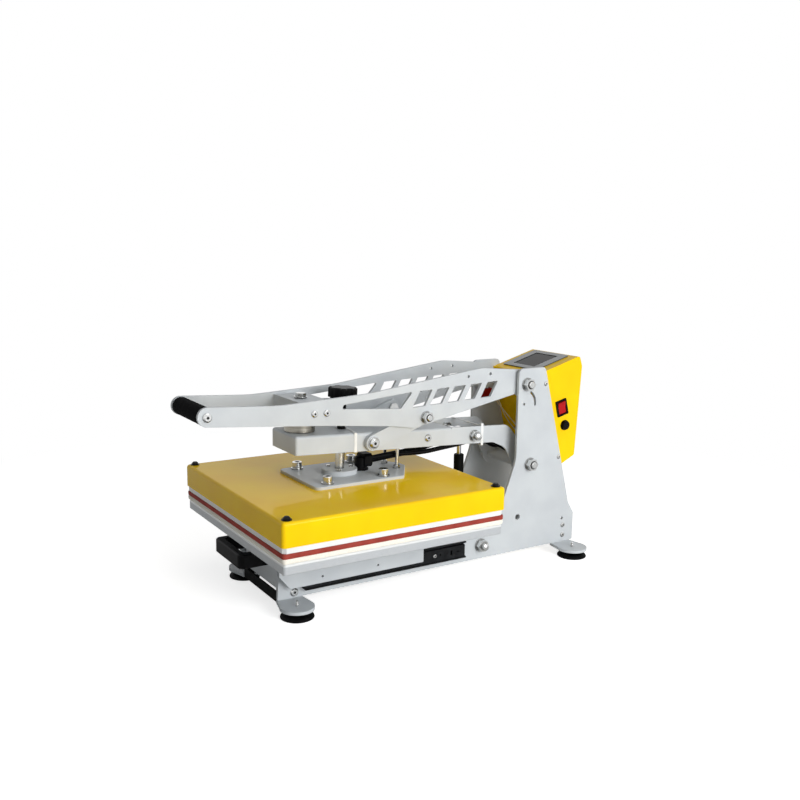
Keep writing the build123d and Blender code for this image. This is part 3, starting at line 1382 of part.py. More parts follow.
def main():
    plate = side_plate()
    nodes["base_plate_right"] = plate
    nodes["base_plate_left"] = mirror(plate, Plane.YZ)
    nodes["front_crossbar"] = front_crossbar()
    nodes["rear_crossplate"] = rear_crossplate()
    nodes["frame_screws"] = frame_screws()
    nodes["limit_switch"] = limit_switch()
    nodes["pivot_pins"] = pivot_pins()
    nodes["pivot_nuts"] = pivot_nuts()
    nodes["pivot_spacers"] = pivot_spacers()
    for side, sx in (("right", 1), ("left", -1)):
        nodes[f"foot_front_{side}"] = foot(sx * FOOT_X, FOOT_FRONT_Y)
        nodes[f"foot_rear_{side}"] = foot(sx * FOOT_X, FOOT_REAR_Y)
    nodes["slide_outers"] = group(both_sides(slide_outer()))
    nodes["slide_middles"] = group(both_sides(slide_middle()))
    nodes["slide_inners"] = group(both_sides(slide_inner()))
    nodes["drawer_carriage"] = drawer_carriage()
    nodes["drawer_handle"] = drawer_handle()
    nodes["drawer_screws"] = drawer_screws()
    nodes["lower_platen"] = lower_platen()
    nodes["foam_layer"] = slab(PAD, FOAM_Z, PAD_Z, PAD_R)
    nodes["silicone_pad"] = slab(PAD, PAD_Z, PAD_Z + PAD_T, PAD_R)
    nodes["heat_platen"] = heat_platen()
    nodes["heat_cover"] = heat_cover()
    nodes["cover_knobs"] = cover_knobs()
    nodes["mounting_plate"] = mounting_plate()
    nodes["hub_flange"] = hub_flange()
    nodes["plate_bolts"] = plate_bolts()
    nodes["guide_rods"] = guide_rods()
    nodes["heater_elbow"] = heater_elbow()
    nodes["pressure_spindle"] = pressure_spindle()
    nodes["pressure_knob"] = pressure_knob()
    nodes["press_arm"] = press_arm()
    nodes["spindle_nut"] = spindle_nut()
    nodes["arm_screws"] = arm_screws()
    nodes["cable_ties"] = cable_ties()
    lever = lever_plate()
    nodes["lever_plate_right"] = lever
    nodes["lever_plate_left"] = mirror(lever, Plane.YZ)
    nodes["lever_pivot_tube"] = lever_pivot_tube()
    nodes["cross_bracket"] = cross_bracket()
    nodes["electromagnet"] = electromagnet()
    nodes["handle_tube"] = handle_tube()
    nodes["handle_grip"] = handle_grip()
    nodes["lever_screws"] = lever_screws()
    nodes["link_plates"] = link_plates()
    nodes["link_pins"] = link_pins()
    nodes["gas_cylinder"] = gas_cylinder()
    nodes["gas_rod"] = gas_rod()
    nodes["control_box"] = control_box()
    nodes["box_rear_cover"] = box_rear_cover()
    nodes["screen_bezel"] = screen_bezel()
    nodes["touch_screen"] = touch_screen()
    nodes["panel_fittings"] = panel_fittings()
    nodes["power_rocker"] = power_rocker()
    nodes["fuse_cap"] = fuse_cap()
    nodes["power_gland"] = power_gland()
    nodes["cables_head"] = group([cable(HEATER_HEAD, HEATER_CABLE_R), cable(SENSOR_HEAD, SENSOR_CABLE_R)])
    nodes["cables_arm"] = group([cable(HEATER_ARM, HEATER_CABLE_R), cable(SENSOR_ARM, SENSOR_CABLE_R)])
    nodes["cables_tail"] = group([cable(HEATER_TAIL, HEATER_CABLE_R), cable(SENSOR_TAIL, SENSOR_CABLE_R)])
    nodes["signal_wires"] = group([cable(points, WIRE_R) for points in WIRES])
    for name, shape in nodes.items():
        moved = Pos(0, -ORIGIN_Y, 0) * shape
        export_step(moved, f"parts/{name}.step")
    print(len(nodes), "nodes")


main()
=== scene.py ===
import math

import bpy
from mathutils import Matrix, Vector

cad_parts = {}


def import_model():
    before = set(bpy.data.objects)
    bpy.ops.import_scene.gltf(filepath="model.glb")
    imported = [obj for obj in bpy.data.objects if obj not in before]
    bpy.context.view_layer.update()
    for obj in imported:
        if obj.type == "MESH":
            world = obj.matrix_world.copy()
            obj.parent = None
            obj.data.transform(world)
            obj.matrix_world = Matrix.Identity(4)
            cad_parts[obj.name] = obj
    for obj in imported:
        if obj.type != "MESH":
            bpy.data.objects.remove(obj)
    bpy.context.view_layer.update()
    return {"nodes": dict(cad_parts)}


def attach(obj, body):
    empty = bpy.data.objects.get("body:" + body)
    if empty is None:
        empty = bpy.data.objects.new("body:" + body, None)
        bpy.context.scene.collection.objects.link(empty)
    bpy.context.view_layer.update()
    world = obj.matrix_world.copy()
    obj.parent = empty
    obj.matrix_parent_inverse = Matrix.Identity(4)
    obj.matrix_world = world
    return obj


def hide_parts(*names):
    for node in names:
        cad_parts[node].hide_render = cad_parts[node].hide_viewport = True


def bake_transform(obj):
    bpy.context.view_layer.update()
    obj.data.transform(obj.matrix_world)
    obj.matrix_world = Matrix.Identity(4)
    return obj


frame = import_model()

nodes = frame["nodes"]

MM = 0.001

# The camera of the photograph, in metres and degrees, for an image of 800 x 800
CAMERA_AT = (1.301877, -0.813869, 0.565937)
CAMERA_AZIMUTH = 57.676
CAMERA_ELEVATION = 9.764
CAMERA_ROLL = 0.8313
CAMERA_LENS = 41.331
CAMERA_SENSOR = 36.0
CAMERA_REACH = 50.0

# Soft boxes: name, place, what it looks at, side in metres and power in watts
SOFT_BOXES = (
    ("key_box", (2.3, 0.35, 0.8), (0, 0, 0.2), 1.3, 36),
    ("top_box", (0.2, 0.3, 2.4), (0, 0, 0.2), 1.6, 4),
)

# The room's light: how it grows from the left to the right and from the front to the back
ROOM_ACROSS = {"From Min": -0.6, "From Max": 1.0, "To Min": 0.09, "To Max": 0.78}
ROOM_ALONG = {"From Min": -1.0, "From Max": 0.2, "To Min": 0.3, "To Max": 1.0}

WHITE = (1, 1, 1, 1)

# The floor: half its side, where it fades to white, and the light of its own that the camera sees
FLOOR_HALF = 6.0
FLOOR_FADE = {"From Min": 0.55, "From Max": 1.25}
FLOOR_LIFT = 0.72

# Where the cables run, in metres: from the elbow on the head, along the arm, into the box
HEATER_LINE = [
    (-0.0060, -0.0530, 0.2020),
    (-0.0070, -0.0295, 0.2033),
    (-0.0096, -0.0060, 0.2046),
    (-0.0127, 0.0170, 0.2045),
    (-0.0170, 0.0520, 0.2063),
    (-0.0210, 0.0900, 0.2130),
    (-0.0230, 0.1280, 0.2165),
    (-0.0225, 0.1540, 0.2250),
    (-0.0220, 0.1840, 0.2215),
    (-0.0220, 0.2100, 0.2080),
    (-0.0220, 0.2320, 0.1950),
    (-0.0220, 0.2580, 0.1960),
    (-0.0220, 0.2730, 0.2016),
    (-0.0220, 0.2880, 0.2030),
    (-0.0220, 0.3030, 0.2030),
]
SENSOR_LINE = [
    (0.0060, -0.0530, 0.2080),
    (0.0068, -0.0295, 0.2098),
    (0.0086, -0.0060, 0.2103),
    (0.0110, 0.0170, 0.2093),
    (0.0145, 0.0520, 0.2087),
    (0.0180, 0.0900, 0.2135),
    (0.0200, 0.1280, 0.2172),
    (0.0205, 0.1540, 0.2228),
    (0.0200, 0.1840, 0.2182),
    (0.0200, 0.2100, 0.2065),
    (0.0200, 0.2320, 0.1930),
    (0.0200, 0.2580, 0.1970),
    (0.0200, 0.2730, 0.2018),
    (0.0200, 0.2880, 0.2030),
    (0.0200, 0.3030, 0.2030),
]
HEATER_RADIUS = 6.0 * MM
SENSOR_RADIUS = 4.0 * MM
CABLE_SIDES = 28

# Where, along the press, head and arm meet and arm and column meet, and where the cables part
HEAD_BEND = (-0.042, 0.045)
CABLE_PARTING = 0.100
COLUMN_BEND = (0.235, 0.275)

# The two thin wires from the limit switch into the box
SWITCH_WIRES = [
    [
        (-0.0600, 0.2546, 0.2825),
        (-0.0585, 0.2620, 0.2730),
        (-0.0515, 0.2705, 0.2595),
        (-0.0395, 0.2765, 0.2460),
        (-0.0260, 0.2825, 0.2325),
        (-0.0190, 0.2910, 0.2190),
        (-0.0180, 0.3030, 0.2125),
    ],
    [
        (-0.0570, 0.2546, 0.2895),
        (-0.0560, 0.2630, 0.2805),
        (-0.0540, 0.2695, 0.2670),
        (-0.0500, 0.2735, 0.2520),
        (-0.0430, 0.2780, 0.2375),
        (-0.0325, 0.2845, 0.2230),
        (-0.0245, 0.2920, 0.2135),
        (-0.0205, 0.3030, 0.2102),
    ],
]
WIRE_RADIUS = 1.0 * MM

# The press plates: middle, side of the pads, their corners, and heights from the floor
PLATEN_MIDDLE = (0.0, -0.106)
PAD_SIDE = 0.388
PAD_CORNER = 0.005
SPONGE_LEVELS = (0.1230, 0.1303)
SILICONE_LEVELS = (0.1303, 0.1377)
# The wavers of a knife-cut edge, two slow and one quick, in radians per metre, the quick one's share of
# a slow one, and the most that the three add up to
CUT_WAVERS = (31, 47, 173)
QUICK_SHARE = 0.5
MOST_WAVER = 2 + QUICK_SHARE
# How a slab's edge turns in, in radians, and how its sides swell: share of the height, share of the swell
EDGE_TURNS = (0, 0.4, 0.8, 1.2, 1.57)
SIDE_SWELL = ((0.25, 0.75), (0.5, 1), (0.75, 0.75))

# The grip's axis, half length, radius and bore in metres, and how far it clears its tube in mm
GRIP_AT = (-0.355, 0.313)
GRIP_HALF = 0.0541
GRIP_RADIUS = 0.014
GRIP_BORE = 0.010
GRIP_CLEARANCE = 0.3
# How the grip's ends roll in: distance from the end and depth below the skin, in mm
GRIP_ROLL = ((0.0, 2.0), (0.4, 0.9), (1.3, 0.25))
# The skin between them, in mm: its distance from the ends, how far it is sunk and how uneven it is
GRIP_SKIN_INSET = 2.5
GRIP_SKIN_SUNK = 0.12
GRIP_SKIN_UNEVEN = 0.1
GRIP_SKIN_STEPS = 60
# The skin's long and short waves, in radians per metre
GRIP_WAVES = (110, 410)

# A foot's rubber, as (height, radius) in mm, and its stud, as low end, high end and radius
FOOT_PROFILE = (
    (4.0, 0.5),
    (0.3, 20.0),
    (0.05, 21.5),
    (0.05, 25.2),
    (0.6, 26.2),
    (1.6, 26.5),
    (2.8, 26.1),
    (4.6, 24.6),
    (6.2, 22.3),
    (7.7, 18.5),
    (8.9, 14.6),
    (10.2, 12.0),
    (11.4, 10.7),
    (12.2, 10.2),
    (12.65, 9.5),
    (12.7, 2.6),
)
FOOT_SPOTS = {
    "foot_front_right": (0.1013, -0.234),
    "foot_front_left": (-0.1013, -0.234),
    "foot_rear_right": (0.1013, 0.325),
    "foot_rear_left": (-0.1013, 0.325),
}
STUD = (6.0, 25.5, 2.5)
STUD_PITCH = 0.8

# The pressure spindle leans back with the arm, and the hub's top is its zero: heights and radii in mm
SPINDLE_FOOT = (0.0, -0.107, 0.1967)
LEAN = math.radians(2.7)
SPINDLE_RADIUS = 7.8
SPINDLE_TOP_RADIUS = 5.5
SPINDLE_PITCH = 2.0
SHANK_HEIGHTS = (-3.9, -3.7, 25.8, 26.0)
THREAD_HEIGHTS = (26.0, 63.5)
TOP_HEIGHTS = (63.6, 126.2)
COLLAR_HEIGHTS = (-6.7, -3.8)
COLLAR_RADIUS = 12.0

# Painted shade in the hexagon sockets of the screws: body, then (x, y, z) of the head's face and the socket's
# radius, in mm
SCREW_SOCKETS = {
    "base": (
        (72.0, -223.5, 26.7, 2.2),
        (71.8, 329.0, 30.8, 1.6),
        (71.8, 329.0, 49.7, 1.6),
        (71.6, 311.8, 182.0, 1.4),
        (71.6, 274.0, 320.0, 1.4),
    ),
    "lever": ((63.2, -355.0, 313.0, 2.4), (62.4, -182.6, 303.4, 1.9), (62.4, -161.5, 303.0, 1.9)),
    "arm": ((48.1, 38.6, 240.6, 2.1),),
    "links": ((59.3, -73.0, 245.0, 2.7),),
    "drawer": ((83.7, 32.0, 44.2, 1.4),),
}
# The painted shadow between a bolt's end and its nut: body, then (x, y, z) of the nut's face and both radii,
# in mm
NUT_RECESSES = {
    "base": ((80.4, 231.0, 322.0, 6.0, 7.4), (80.4, 243.6, 176.2, 6.0, 7.4)),
    "lever": ((69.9, 24.0, 280.0, 5.0, 6.3),),
}
# How far the painted shade of a socket or a recess stands off the face that it darkens, in mm
SOCKET_LIFT = 0.04
RECESS_LIFT = 0.05
SOCKET_SIDES = 6
RECESS_SIDES = 40

# The rear cable tie's moulded head: its size, sink and edge in mm
TIE_HEAD = (7.0, 6.0, 4.6)
TIE_HEAD_SINK = 0.8
TIE_HEAD_EDGE = 0.9
# The place along the press, in metres, that parts the two ties
TIE_PARTING = 0.05


# Small tools


def linear(colour):
    """A colour written as sRGB hex, turned to the linear values that shaders take."""
    parts = [int(colour[i : i + 2], 16) / 255 for i in (1, 3, 5)]
    lit = [c / 12.92 if c <= 0.04045 else ((c + 0.055) / 1.055) ** 2.4 for c in parts]
    return (*lit, 1.0)


def add(tree, kind, links=None, values=None, **settings):
    """Adds a node: settings are its properties, values its sockets and links its inputs."""
    node = tree.nodes.new("ShaderNode" + kind)
    for key, value in settings.items():
        setattr(node, key, value)
    for key, value in (values or {}).items():
        node.inputs[key].default_value = value
    for key, source in (links or {}).items():
        tree.links.new(source, node.inputs[key])
    return node


def material(name, colour, metallic=0.0, roughness=0.5, ior=1.5, shine=0.5):
    """A new material with its shader, ready for patterns; shine is 0.5 for a full mirror share."""
    made = bpy.data.materials.new(name)
    made.use_nodes = True
    shader = made.node_tree.nodes["Principled BSDF"]
    shader.inputs["Base Color"].default_value = linear(colour)
    shader.inputs["Metallic"].default_value = metallic
    shader.inputs["Roughness"].default_value = roughness
    shader.inputs["IOR"].default_value = ior
    shader.inputs["Specular IOR Level"].default_value = shine
    return made, shader


def mottle(tree, size_mm, detail, stretch=None):
    """Blotches about size_mm across that stay with the piece, stretched by three factors if given."""
    at = add(tree, "TexCoord").outputs["Object"]
    if stretch:
        at = add(tree, "Mapping", {"Vector": at}, {"Scale": stretch}).outputs["Vector"]
    values = {"Scale": 1000 / size_mm, "Detail": detail}
    return add(tree, "TexNoise", {"Vector": at}, values).outputs["Fac"]


def shade(tree, shader, factor, dark, light, low=0.35, high=0.65):
    """Colour that varies between two near shades with a factor."""
    span = add(tree, "MapRange", {"Value": factor}, {"From Min": low, "From Max": high})
    ends = {"A": linear(dark), "B": linear(light)}
    mix = add(tree, "Mix", {"Factor": span.outputs["Result"]}, ends, data_type="RGBA")
    tree.links.new(mix.outputs["Result"], shader.inputs["Base Color"])
    return mix


def gloss(tree, shader, factor, low, high):
    """Roughness that varies between two values with a factor."""
    span = add(tree, "MapRange", {"Value": factor}, {"To Min": low, "To Max": high})
    tree.links.new(span.outputs["Result"], shader.inputs["Roughness"])


def relief(tree, shader, factor, depth_mm, strength=1.0, edge_mm=0.0):
    """Bump from a factor, over edges that are rounded by edge_mm."""
    links = {"Height": factor}
    if edge_mm:
        rounded = add(tree, "Bevel", values={"Radius": edge_mm * MM}, samples=4)
        links["Normal"] = rounded.outputs["Normal"]
    bump = add(tree, "Bump", links, {"Distance": depth_mm * MM, "Strength": strength})
    tree.links.new(bump.outputs["Normal"], shader.inputs["Normal"])


def link(name, data):
    """A new object in the scene."""
    held = bpy.data.objects.new(name, data)
    bpy.context.scene.collection.objects.link(held)
    return held


def put(name, points, faces, finish, smooth=True):
    """A new mesh piece with one finish."""
    mesh = bpy.data.meshes.new(name)
    mesh.from_pydata([tuple(p) for p in points], [], faces)
    mesh.materials.append(finish)
    for face in mesh.polygons:
        face.use_smooth = smooth and len(face.vertices) <= 4
    mesh.update()
    return link(name, mesh)


def circle(radius, sides):
    """Points round a circle, as pairs."""
    turns = [2 * math.pi * j / sides for j in range(sides)]
    return [(radius * math.cos(turn), radius * math.sin(turn)) for turn in turns]


def ring_faces(rings, sides, closed_ends=True):
    """Quads between rings of as many points, and a face over each end."""
    faces = []
    for i in range(rings - 1):
        for j in range(sides):
            k = (j + 1) % sides
            faces.append((i * sides + j, i * sides + k, (i + 1) * sides + k, (i + 1) * sides + j))
    if closed_ends:
        faces.append(tuple(reversed(range(sides))))
        faces.append(tuple((rings - 1) * sides + j for j in range(sides)))
    return faces


def lathe(name, profile, finish, frame_at, sides=64, closed_ends=True):
    """A turned shape about its own Z from (height, radius) pairs, placed by a matrix."""
    rings = []
    for height, radius in profile:
        rings += [frame_at @ Vector((x, y, height)) for x, y in circle(radius, sides)]
    return put(name, rings, ring_faces(len(profile), sides, closed_ends), finish)


def thread(name, ends, radius, pitch, frame_at, finish, plain=()):
    """A bar with a rolled thread; plain is a list of smooth (height, radius) pairs beyond its top."""
    low, high = ends
    sides = 40
    per_turn = 8
    depth_share = 0.55
    rings = []
    count = int((high - low) / pitch * per_turn)
    for i in range(count + 1):
        height = low + (high - low) * i / count
        near_end = min(1.0, (height - low) / pitch, (high - height) / pitch)
        for j in range(sides):
            share = (height / pitch - j / sides) % 1.0
            depth = depth_share * pitch * (1 - abs(2 * share - 1)) * near_end
            turn = 2 * math.pi * j / sides
            spot = Vector(((radius - depth) * math.cos(turn), (radius - depth) * math.sin(turn), height))
            rings.append(frame_at @ spot)
    for height, wide in plain:
        rings += [frame_at @ Vector((x, y, height)) for x, y in circle(wide, sides)]
    return put(name, rings, ring_faces(count + 1 + len(plain), sides), finish)


# Cables and wires


def spline(name, line, bevel=0.0):
    """A smooth curve along a line of points."""
    curve = bpy.data.curves.new(name, "CURVE")
    curve.dimensions = "3D"
    curve.resolution_u = 14
    run = curve.splines.new("NURBS")
    run.points.add(len(line) - 1)
    for point, at in zip(run.points, line):
        point.co = (*at, 1.0)
    run.order_u = 3
    run.use_endpoint_u = True
    curve.bevel_depth = bevel
    curve.bevel_resolution = 5
    curve.use_fill_caps = bevel > 0
    return link(name, curve)


def points_along(line):
    """The points of the smooth curve along a line."""
    held = spline("route", line)
    mesh = bpy.data.meshes.new_from_object(held)
    points = [v.co.copy() for v in mesh.vertices]
    curve = held.data
    bpy.data.objects.remove(held)
    bpy.data.curves.remove(curve)
    bpy.data.meshes.remove(mesh)
    return points


def cable(name, points, radius, finish):
    """A round cable along points, with closed ends."""
    ways = [(b - a).normalized() for a, b in zip(points, points[1:])]
    ways = [ways[0]] + [(a + b).normalized() for a, b in zip(ways, ways[1:])] + [ways[-1]]
    across = ways[0].cross(Vector((0, 0, 1))).normalized()
    rings = []
    for at, way in zip(points, ways):
        across = (across - way * across.dot(way)).normalized()
        up = across.cross(way)
        rings += [at + (across * x + up * y) * radius for x, y in circle(1, CABLE_SIDES)]
    return put(name, rings, ring_faces(len(points), CABLE_SIDES), finish)


def two_part_cable(name, line, radius, finish):
    """A cable made as two pieces, front and rear, that part along the press."""
    points = points_along(line)
    parting = next(i for i, p in enumerate(points) if p.y > CABLE_PARTING)
    parts = (
        ("front", points[: parting + 1], "head", "arm", HEAD_BEND),
        ("rear", points[parting:], "arm", "base", COLUMN_BEND),
    )
    for part, run, near, far, bend in parts:
        piece = cable(f"{name}_{part}", run, radius, finish)
        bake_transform(piece)
        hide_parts("cables_head", "cables_arm", "cables_tail")


def switch_wires(finish):
    """Thin silicone wires that hang from the limit switch to the box's inlet."""
    for number, line in enumerate(SWITCH_WIRES, 1):
        points = points_along(line)
        wire = spline(f"switch_wire_{number}", line, WIRE_RADIUS)
        wire.data.materials.append(finish)
        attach(wire, "base")
        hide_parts("signal_wires")


# Pads, grip and feet


def soft_square(half, corner, wobble, phase):
    """A square outline with rounded corners and a cut edge that wavers, as points and outward ways."""
    outline = []
    flat = half - corner
    side_steps, corner_steps = 48, 8
    for quarter in range(4):
        turn = math.pi / 2 * quarter
        out = Vector((math.cos(turn), math.sin(turn)))
        along = Vector((-out.y, out.x))
        for i in range(side_steps):
            outline.append((out * half + along * flat * (2 * i / side_steps - 1), out))
        for i in range(corner_steps):
            angle = turn + math.pi / 2 * i / corner_steps
            way = Vector((math.cos(angle), math.sin(angle)))
            outline.append(((out + along) * flat + way * corner, way))
    slow, cross, quick = CUT_WAVERS
    shaped = []
    for at, way in outline:
        swell = math.sin(slow * at.x + phase) + math.sin(cross * at.y + 2 * phase)
        swell += QUICK_SHARE * math.sin(quick * (at.x - at.y))
        shaped.append((at + way * wobble * swell / MOST_WAVER, way))
    return shaped


def soft_slab(name, levels, finish, edge, bulge, wobble, phase):
    """A soft sheet with rounded edges whose sides swell a little under the press."""
    low, high = levels
    outline = soft_square(PAD_SIDE / 2 - bulge, PAD_CORNER, wobble, phase)
    side = high - low - 2 * edge
    steps = [(edge * (1 - math.sin(a)), low + edge * (1 - math.cos(a))) for a in EDGE_TURNS]
    middle = [(-bulge * share, low + edge + side * rise) for rise, share in SIDE_SWELL]
    upper = [(inset, low + high - z) for inset, z in reversed(steps)]
    rings = []
    for inset, z in steps + middle + upper:
        for at, way in outline:
            spot = at - way * inset
            rings.append((PLATEN_MIDDLE[0] + spot.x, PLATEN_MIDDLE[1] + spot.y, z))
    return put(name, rings, ring_faces(len(steps) * 2 + len(middle), len(outline)), finish)


def pads():
    """The cream sponge and the silicone sheet on the lower platen."""
    sponge_layer = soft_slab(
        "sponge_layer",
        SPONGE_LEVELS,
        SPONGE,
        edge=0.8 * MM,
        bulge=0.5 * MM,
        wobble=0.35 * MM,
        phase=0.7,
    )
    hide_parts("foam_layer")
    sheet = soft_slab(
        "silicone_sheet",
        SILICONE_LEVELS,
        SILICONE,
        edge=1.0 * MM,
        bulge=0.25 * MM,
        wobble=0.2 * MM,
        phase=2.1,
    )
    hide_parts("silicone_pad")
    for piece in (sponge_layer, sheet):
        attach(piece, "drawer")


def grip():
    """The foam sleeve: its ends roll in and its skin is a little uneven."""
    bore = GRIP_BORE + GRIP_CLEARANCE * MM
    roll = [(GRIP_HALF - inset * MM, GRIP_RADIUS - depth * MM) for inset, depth in GRIP_ROLL]
    profile = [(-GRIP_HALF, bore)] + [(-along, radius) for along, radius in roll]
    skin_half = GRIP_HALF - GRIP_SKIN_INSET * MM
    long_wave, short_wave = GRIP_WAVES
    for i in range(GRIP_SKIN_STEPS + 1):
        along = -skin_half + 2 * skin_half * i / GRIP_SKIN_STEPS
        uneven = GRIP_SKIN_UNEVEN * MM * math.sin(long_wave * along) * math.sin(short_wave * along + 1)
        profile.append((along, GRIP_RADIUS - GRIP_SKIN_SUNK * MM + uneven))
    profile += list(reversed(roll)) + [(GRIP_HALF, bore)]
    frame_at = Matrix.Translation((0, *GRIP_AT)) @ Matrix.Rotation(math.pi / 2, 4, "Y")
    sleeve = lathe("foam_grip", profile, FOAM, frame_at, closed_ends=False)
    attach(sleeve, "lever")
    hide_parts("handle_grip")


def feet():
    """Suction feet of moulded rubber on threaded zinc studs."""
    low, high, radius = (v * MM for v in STUD)
    profile = [(z * MM, r * MM) for z, r in FOOT_PROFILE]
    for body, (x, y) in FOOT_SPOTS.items():
        frame_at = Matrix.Translation((x, y, 0))
        rubber = lathe(f"{body}_rubber", profile, RUBBER, frame_at)
        stud = thread(f"{body}_stud", (low, high), radius, STUD_PITCH * MM, frame_at, ZINC)
        for piece, slot in ((rubber, "foot_rubber"), (stud, "zinc")):
            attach(piece, body)
            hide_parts(body)


# Spindle, painted shade on small fasteners, and cable tie


def pressure_spindle():
    """The pressure spindle: a smooth shank over the hub, and a rolled thread inside the arm."""
    frame_at = Matrix.Translation(SPINDLE_FOOT) @ Matrix.Rotation(-LEAN, 4, "X")
    radius = SPINDLE_RADIUS * MM
    ends = [height * MM for height in THREAD_HEIGHTS]
    top = [(height * MM, SPINDLE_TOP_RADIUS * MM) for height in TOP_HEIGHTS]
    even = [(height * MM, radius) for height in SHANK_HEIGHTS]
    disc = [(height * MM, COLLAR_RADIUS * MM) for height in COLLAR_HEIGHTS]
    pieces = (
        lathe("spindle_shank", even, SPINDLE, frame_at),
        thread("spindle_thread", ends, radius, SPINDLE_PITCH * MM, frame_at, SPINDLE, top),
        lathe("spindle_collar", disc, SPINDLE, frame_at),
    )
    for piece in pieces:
        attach(piece, "knob")
        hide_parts("pressure_spindle")


def rim(side, x, y, z, radius, sides):
    """Points round a circle on a face that looks right, or left where side is -1; sizes are in mm."""
    return [(side * x * MM, (y + side * a) * MM, (z + b) * MM) for a, b in circle(radius, sides)]


def shade_piece(name, points, faces, body):
    """A thin patch of painted shade on the fasteners of one body."""
    piece = put(name, points, faces, SOCKET_SHADE, smooth=False)
    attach(piece, body)


def screw_socket_shade():
    """Painted shade: dark hexagons on the sockets of the button-head screws, on both sides."""
    for body, spots in SCREW_SOCKETS.items():
        points = []
        faces = []
        for x, y, z, radius in spots:
            for side in (1, -1):
                first = len(points)
                points += rim(side, x + SOCKET_LIFT, y, z, radius, SOCKET_SIDES)
                faces.append(tuple(range(first, first + SOCKET_SIDES)))
        shade_piece(f"screw_socket_shade_{body}", points, faces, body)


def nut_recess_shadow():
    """Painted shadow: a dark ring round each open bolt end, on both sides."""
    for body, spots in NUT_RECESSES.items():
        points = []
        faces = []
        for x, y, z, inner, outer in spots:
            for side in (1, -1):
                near = len(points)
                far = near + RECESS_SIDES
                for radius in (inner, outer):
                    points += rim(side, x + RECESS_LIFT, y, z, radius, RECESS_SIDES)
                for i in range(RECESS_SIDES):
                    k = (i + 1) % RECESS_SIDES
                    faces.append((near + i, far + i, far + k, near + k))
        shade_piece(f"nut_recess_shadow_{body}", points, faces, body)


def tie_head():
    """The moulded head of the rear cable tie, over the arm's right top edge."""
    rear = [v.co for v in nodes["cable_ties"].data.vertices if v.co.y > TIE_PARTING]
    middle_y = (min(at.y for at in rear) + max(at.y for at in rear)) / 2
    wide, deep, tall = (v * MM for v in TIE_HEAD)
    top = max(at.z for at in rear) - TIE_HEAD_SINK * MM
    middle = Vector((max(at.x for at in rear) - wide / 2, middle_y, top + tall / 2))
    corners = ((-1, -1), (1, -1), (1, 1), (-1, 1))
    points = [middle + Vector((wide * i, deep * j, tall * k)) / 2 for k in (-1, 1) for i, j in corners]
    head = put("tie_head", points, ring_faces(2, 4), NYLON, smooth=False)
    softened = head.modifiers.new("softened", "BEVEL")
    softened.width = TIE_HEAD_EDGE * MM
    softened.segments = 3
    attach(head, "arm")


# Finishes


def powder_coat(name, dark, light, rough=(0.36, 0.5), shine=0.4):
    """Powder-coated steel: satin, with a fine orange peel and softly rounded edges."""
    made, shader = material(name, light, roughness=0.42, shine=shine)
    tree = made.node_tree
    shade(tree, shader, mottle(tree, 60, 3), dark, light)
    gloss(tree, shader, mottle(tree, 9, 2), *rough)
    # The orange peel's bumps are one to two millimetres apart
    relief(tree, shader, mottle(tree, 1.6, 2), 0.035, 1.0, edge_mm=0.7)
    return made


def gloss_enamel(name, dark, light):
    """Gloss baked enamel: a hard shine that mirrors the room, with a faint long ripple."""
    made, shader = material(name, light, roughness=0.3, shine=0.04)
    shader.inputs["Coat Weight"].default_value = 0.2
    shader.inputs["Coat Roughness"].default_value = 0.04
    tree = made.node_tree
    shade(tree, shader, mottle(tree, 80, 2), dark, light)
    relief(tree, shader, mottle(tree, 9, 1), 0.01, 0.6, edge_mm=0.8)
    return made


def zinc_plate(name, dark="#3C3E40", light="#DCDDDC", rough=(0.14, 0.26)):
    """Bright zinc-plated steel: a mirror, with painted shade that darkens it in corners and where it looks
    down at the bench.
    """
    made, shader = material(name, light, metallic=1.0, roughness=0.2)
    tree = made.node_tree
    # Painted shade: darker on faces that look down, and in corners by ambient occlusion over 5 mm
    facing = add(tree, "NewGeometry").outputs["Normal"]
    upward = add(tree, "SeparateXYZ", {"Vector": facing}).outputs["Z"]
    corner = add(tree, "AmbientOcclusion", values={"Distance": 5 * MM}, samples=6).outputs["AO"]
    lit = add(tree, "MapRange", {"Value": upward}, {"From Min": -0.9, "From Max": 0.5, "To Min": 0.25})
    both = add(tree, "Math", {0: lit.outputs["Result"], 1: corner}, operation="MULTIPLY")
    shade(tree, shader, both.outputs["Value"], dark, light, 0.1, 0.85)
    gloss(tree, shader, mottle(tree, 6, 2), *rough)
    relief(tree, shader, mottle(tree, 9, 1), 0.004, 0.5, edge_mm=0.3)
    return made


def blackened_steel(name):
    """Black electro-coated slide steel: half gloss, thin and even."""
    made, shader = material(name, "#17181A", roughness=0.38, ior=1.55, shine=0.11)
    tree = made.node_tree
    shade(tree, shader, mottle(tree, 12, 3), "#121315", "#1E2022")
    gloss(tree, shader, mottle(tree, 4, 2), 0.3, 0.46)
    # The coat's grain is finer than 0.1 mm, drawn at 1.2 mm so that it shows
    relief(tree, shader, mottle(tree, 1.2, 2), 0.01, 0.6, edge_mm=0.3)
    return made


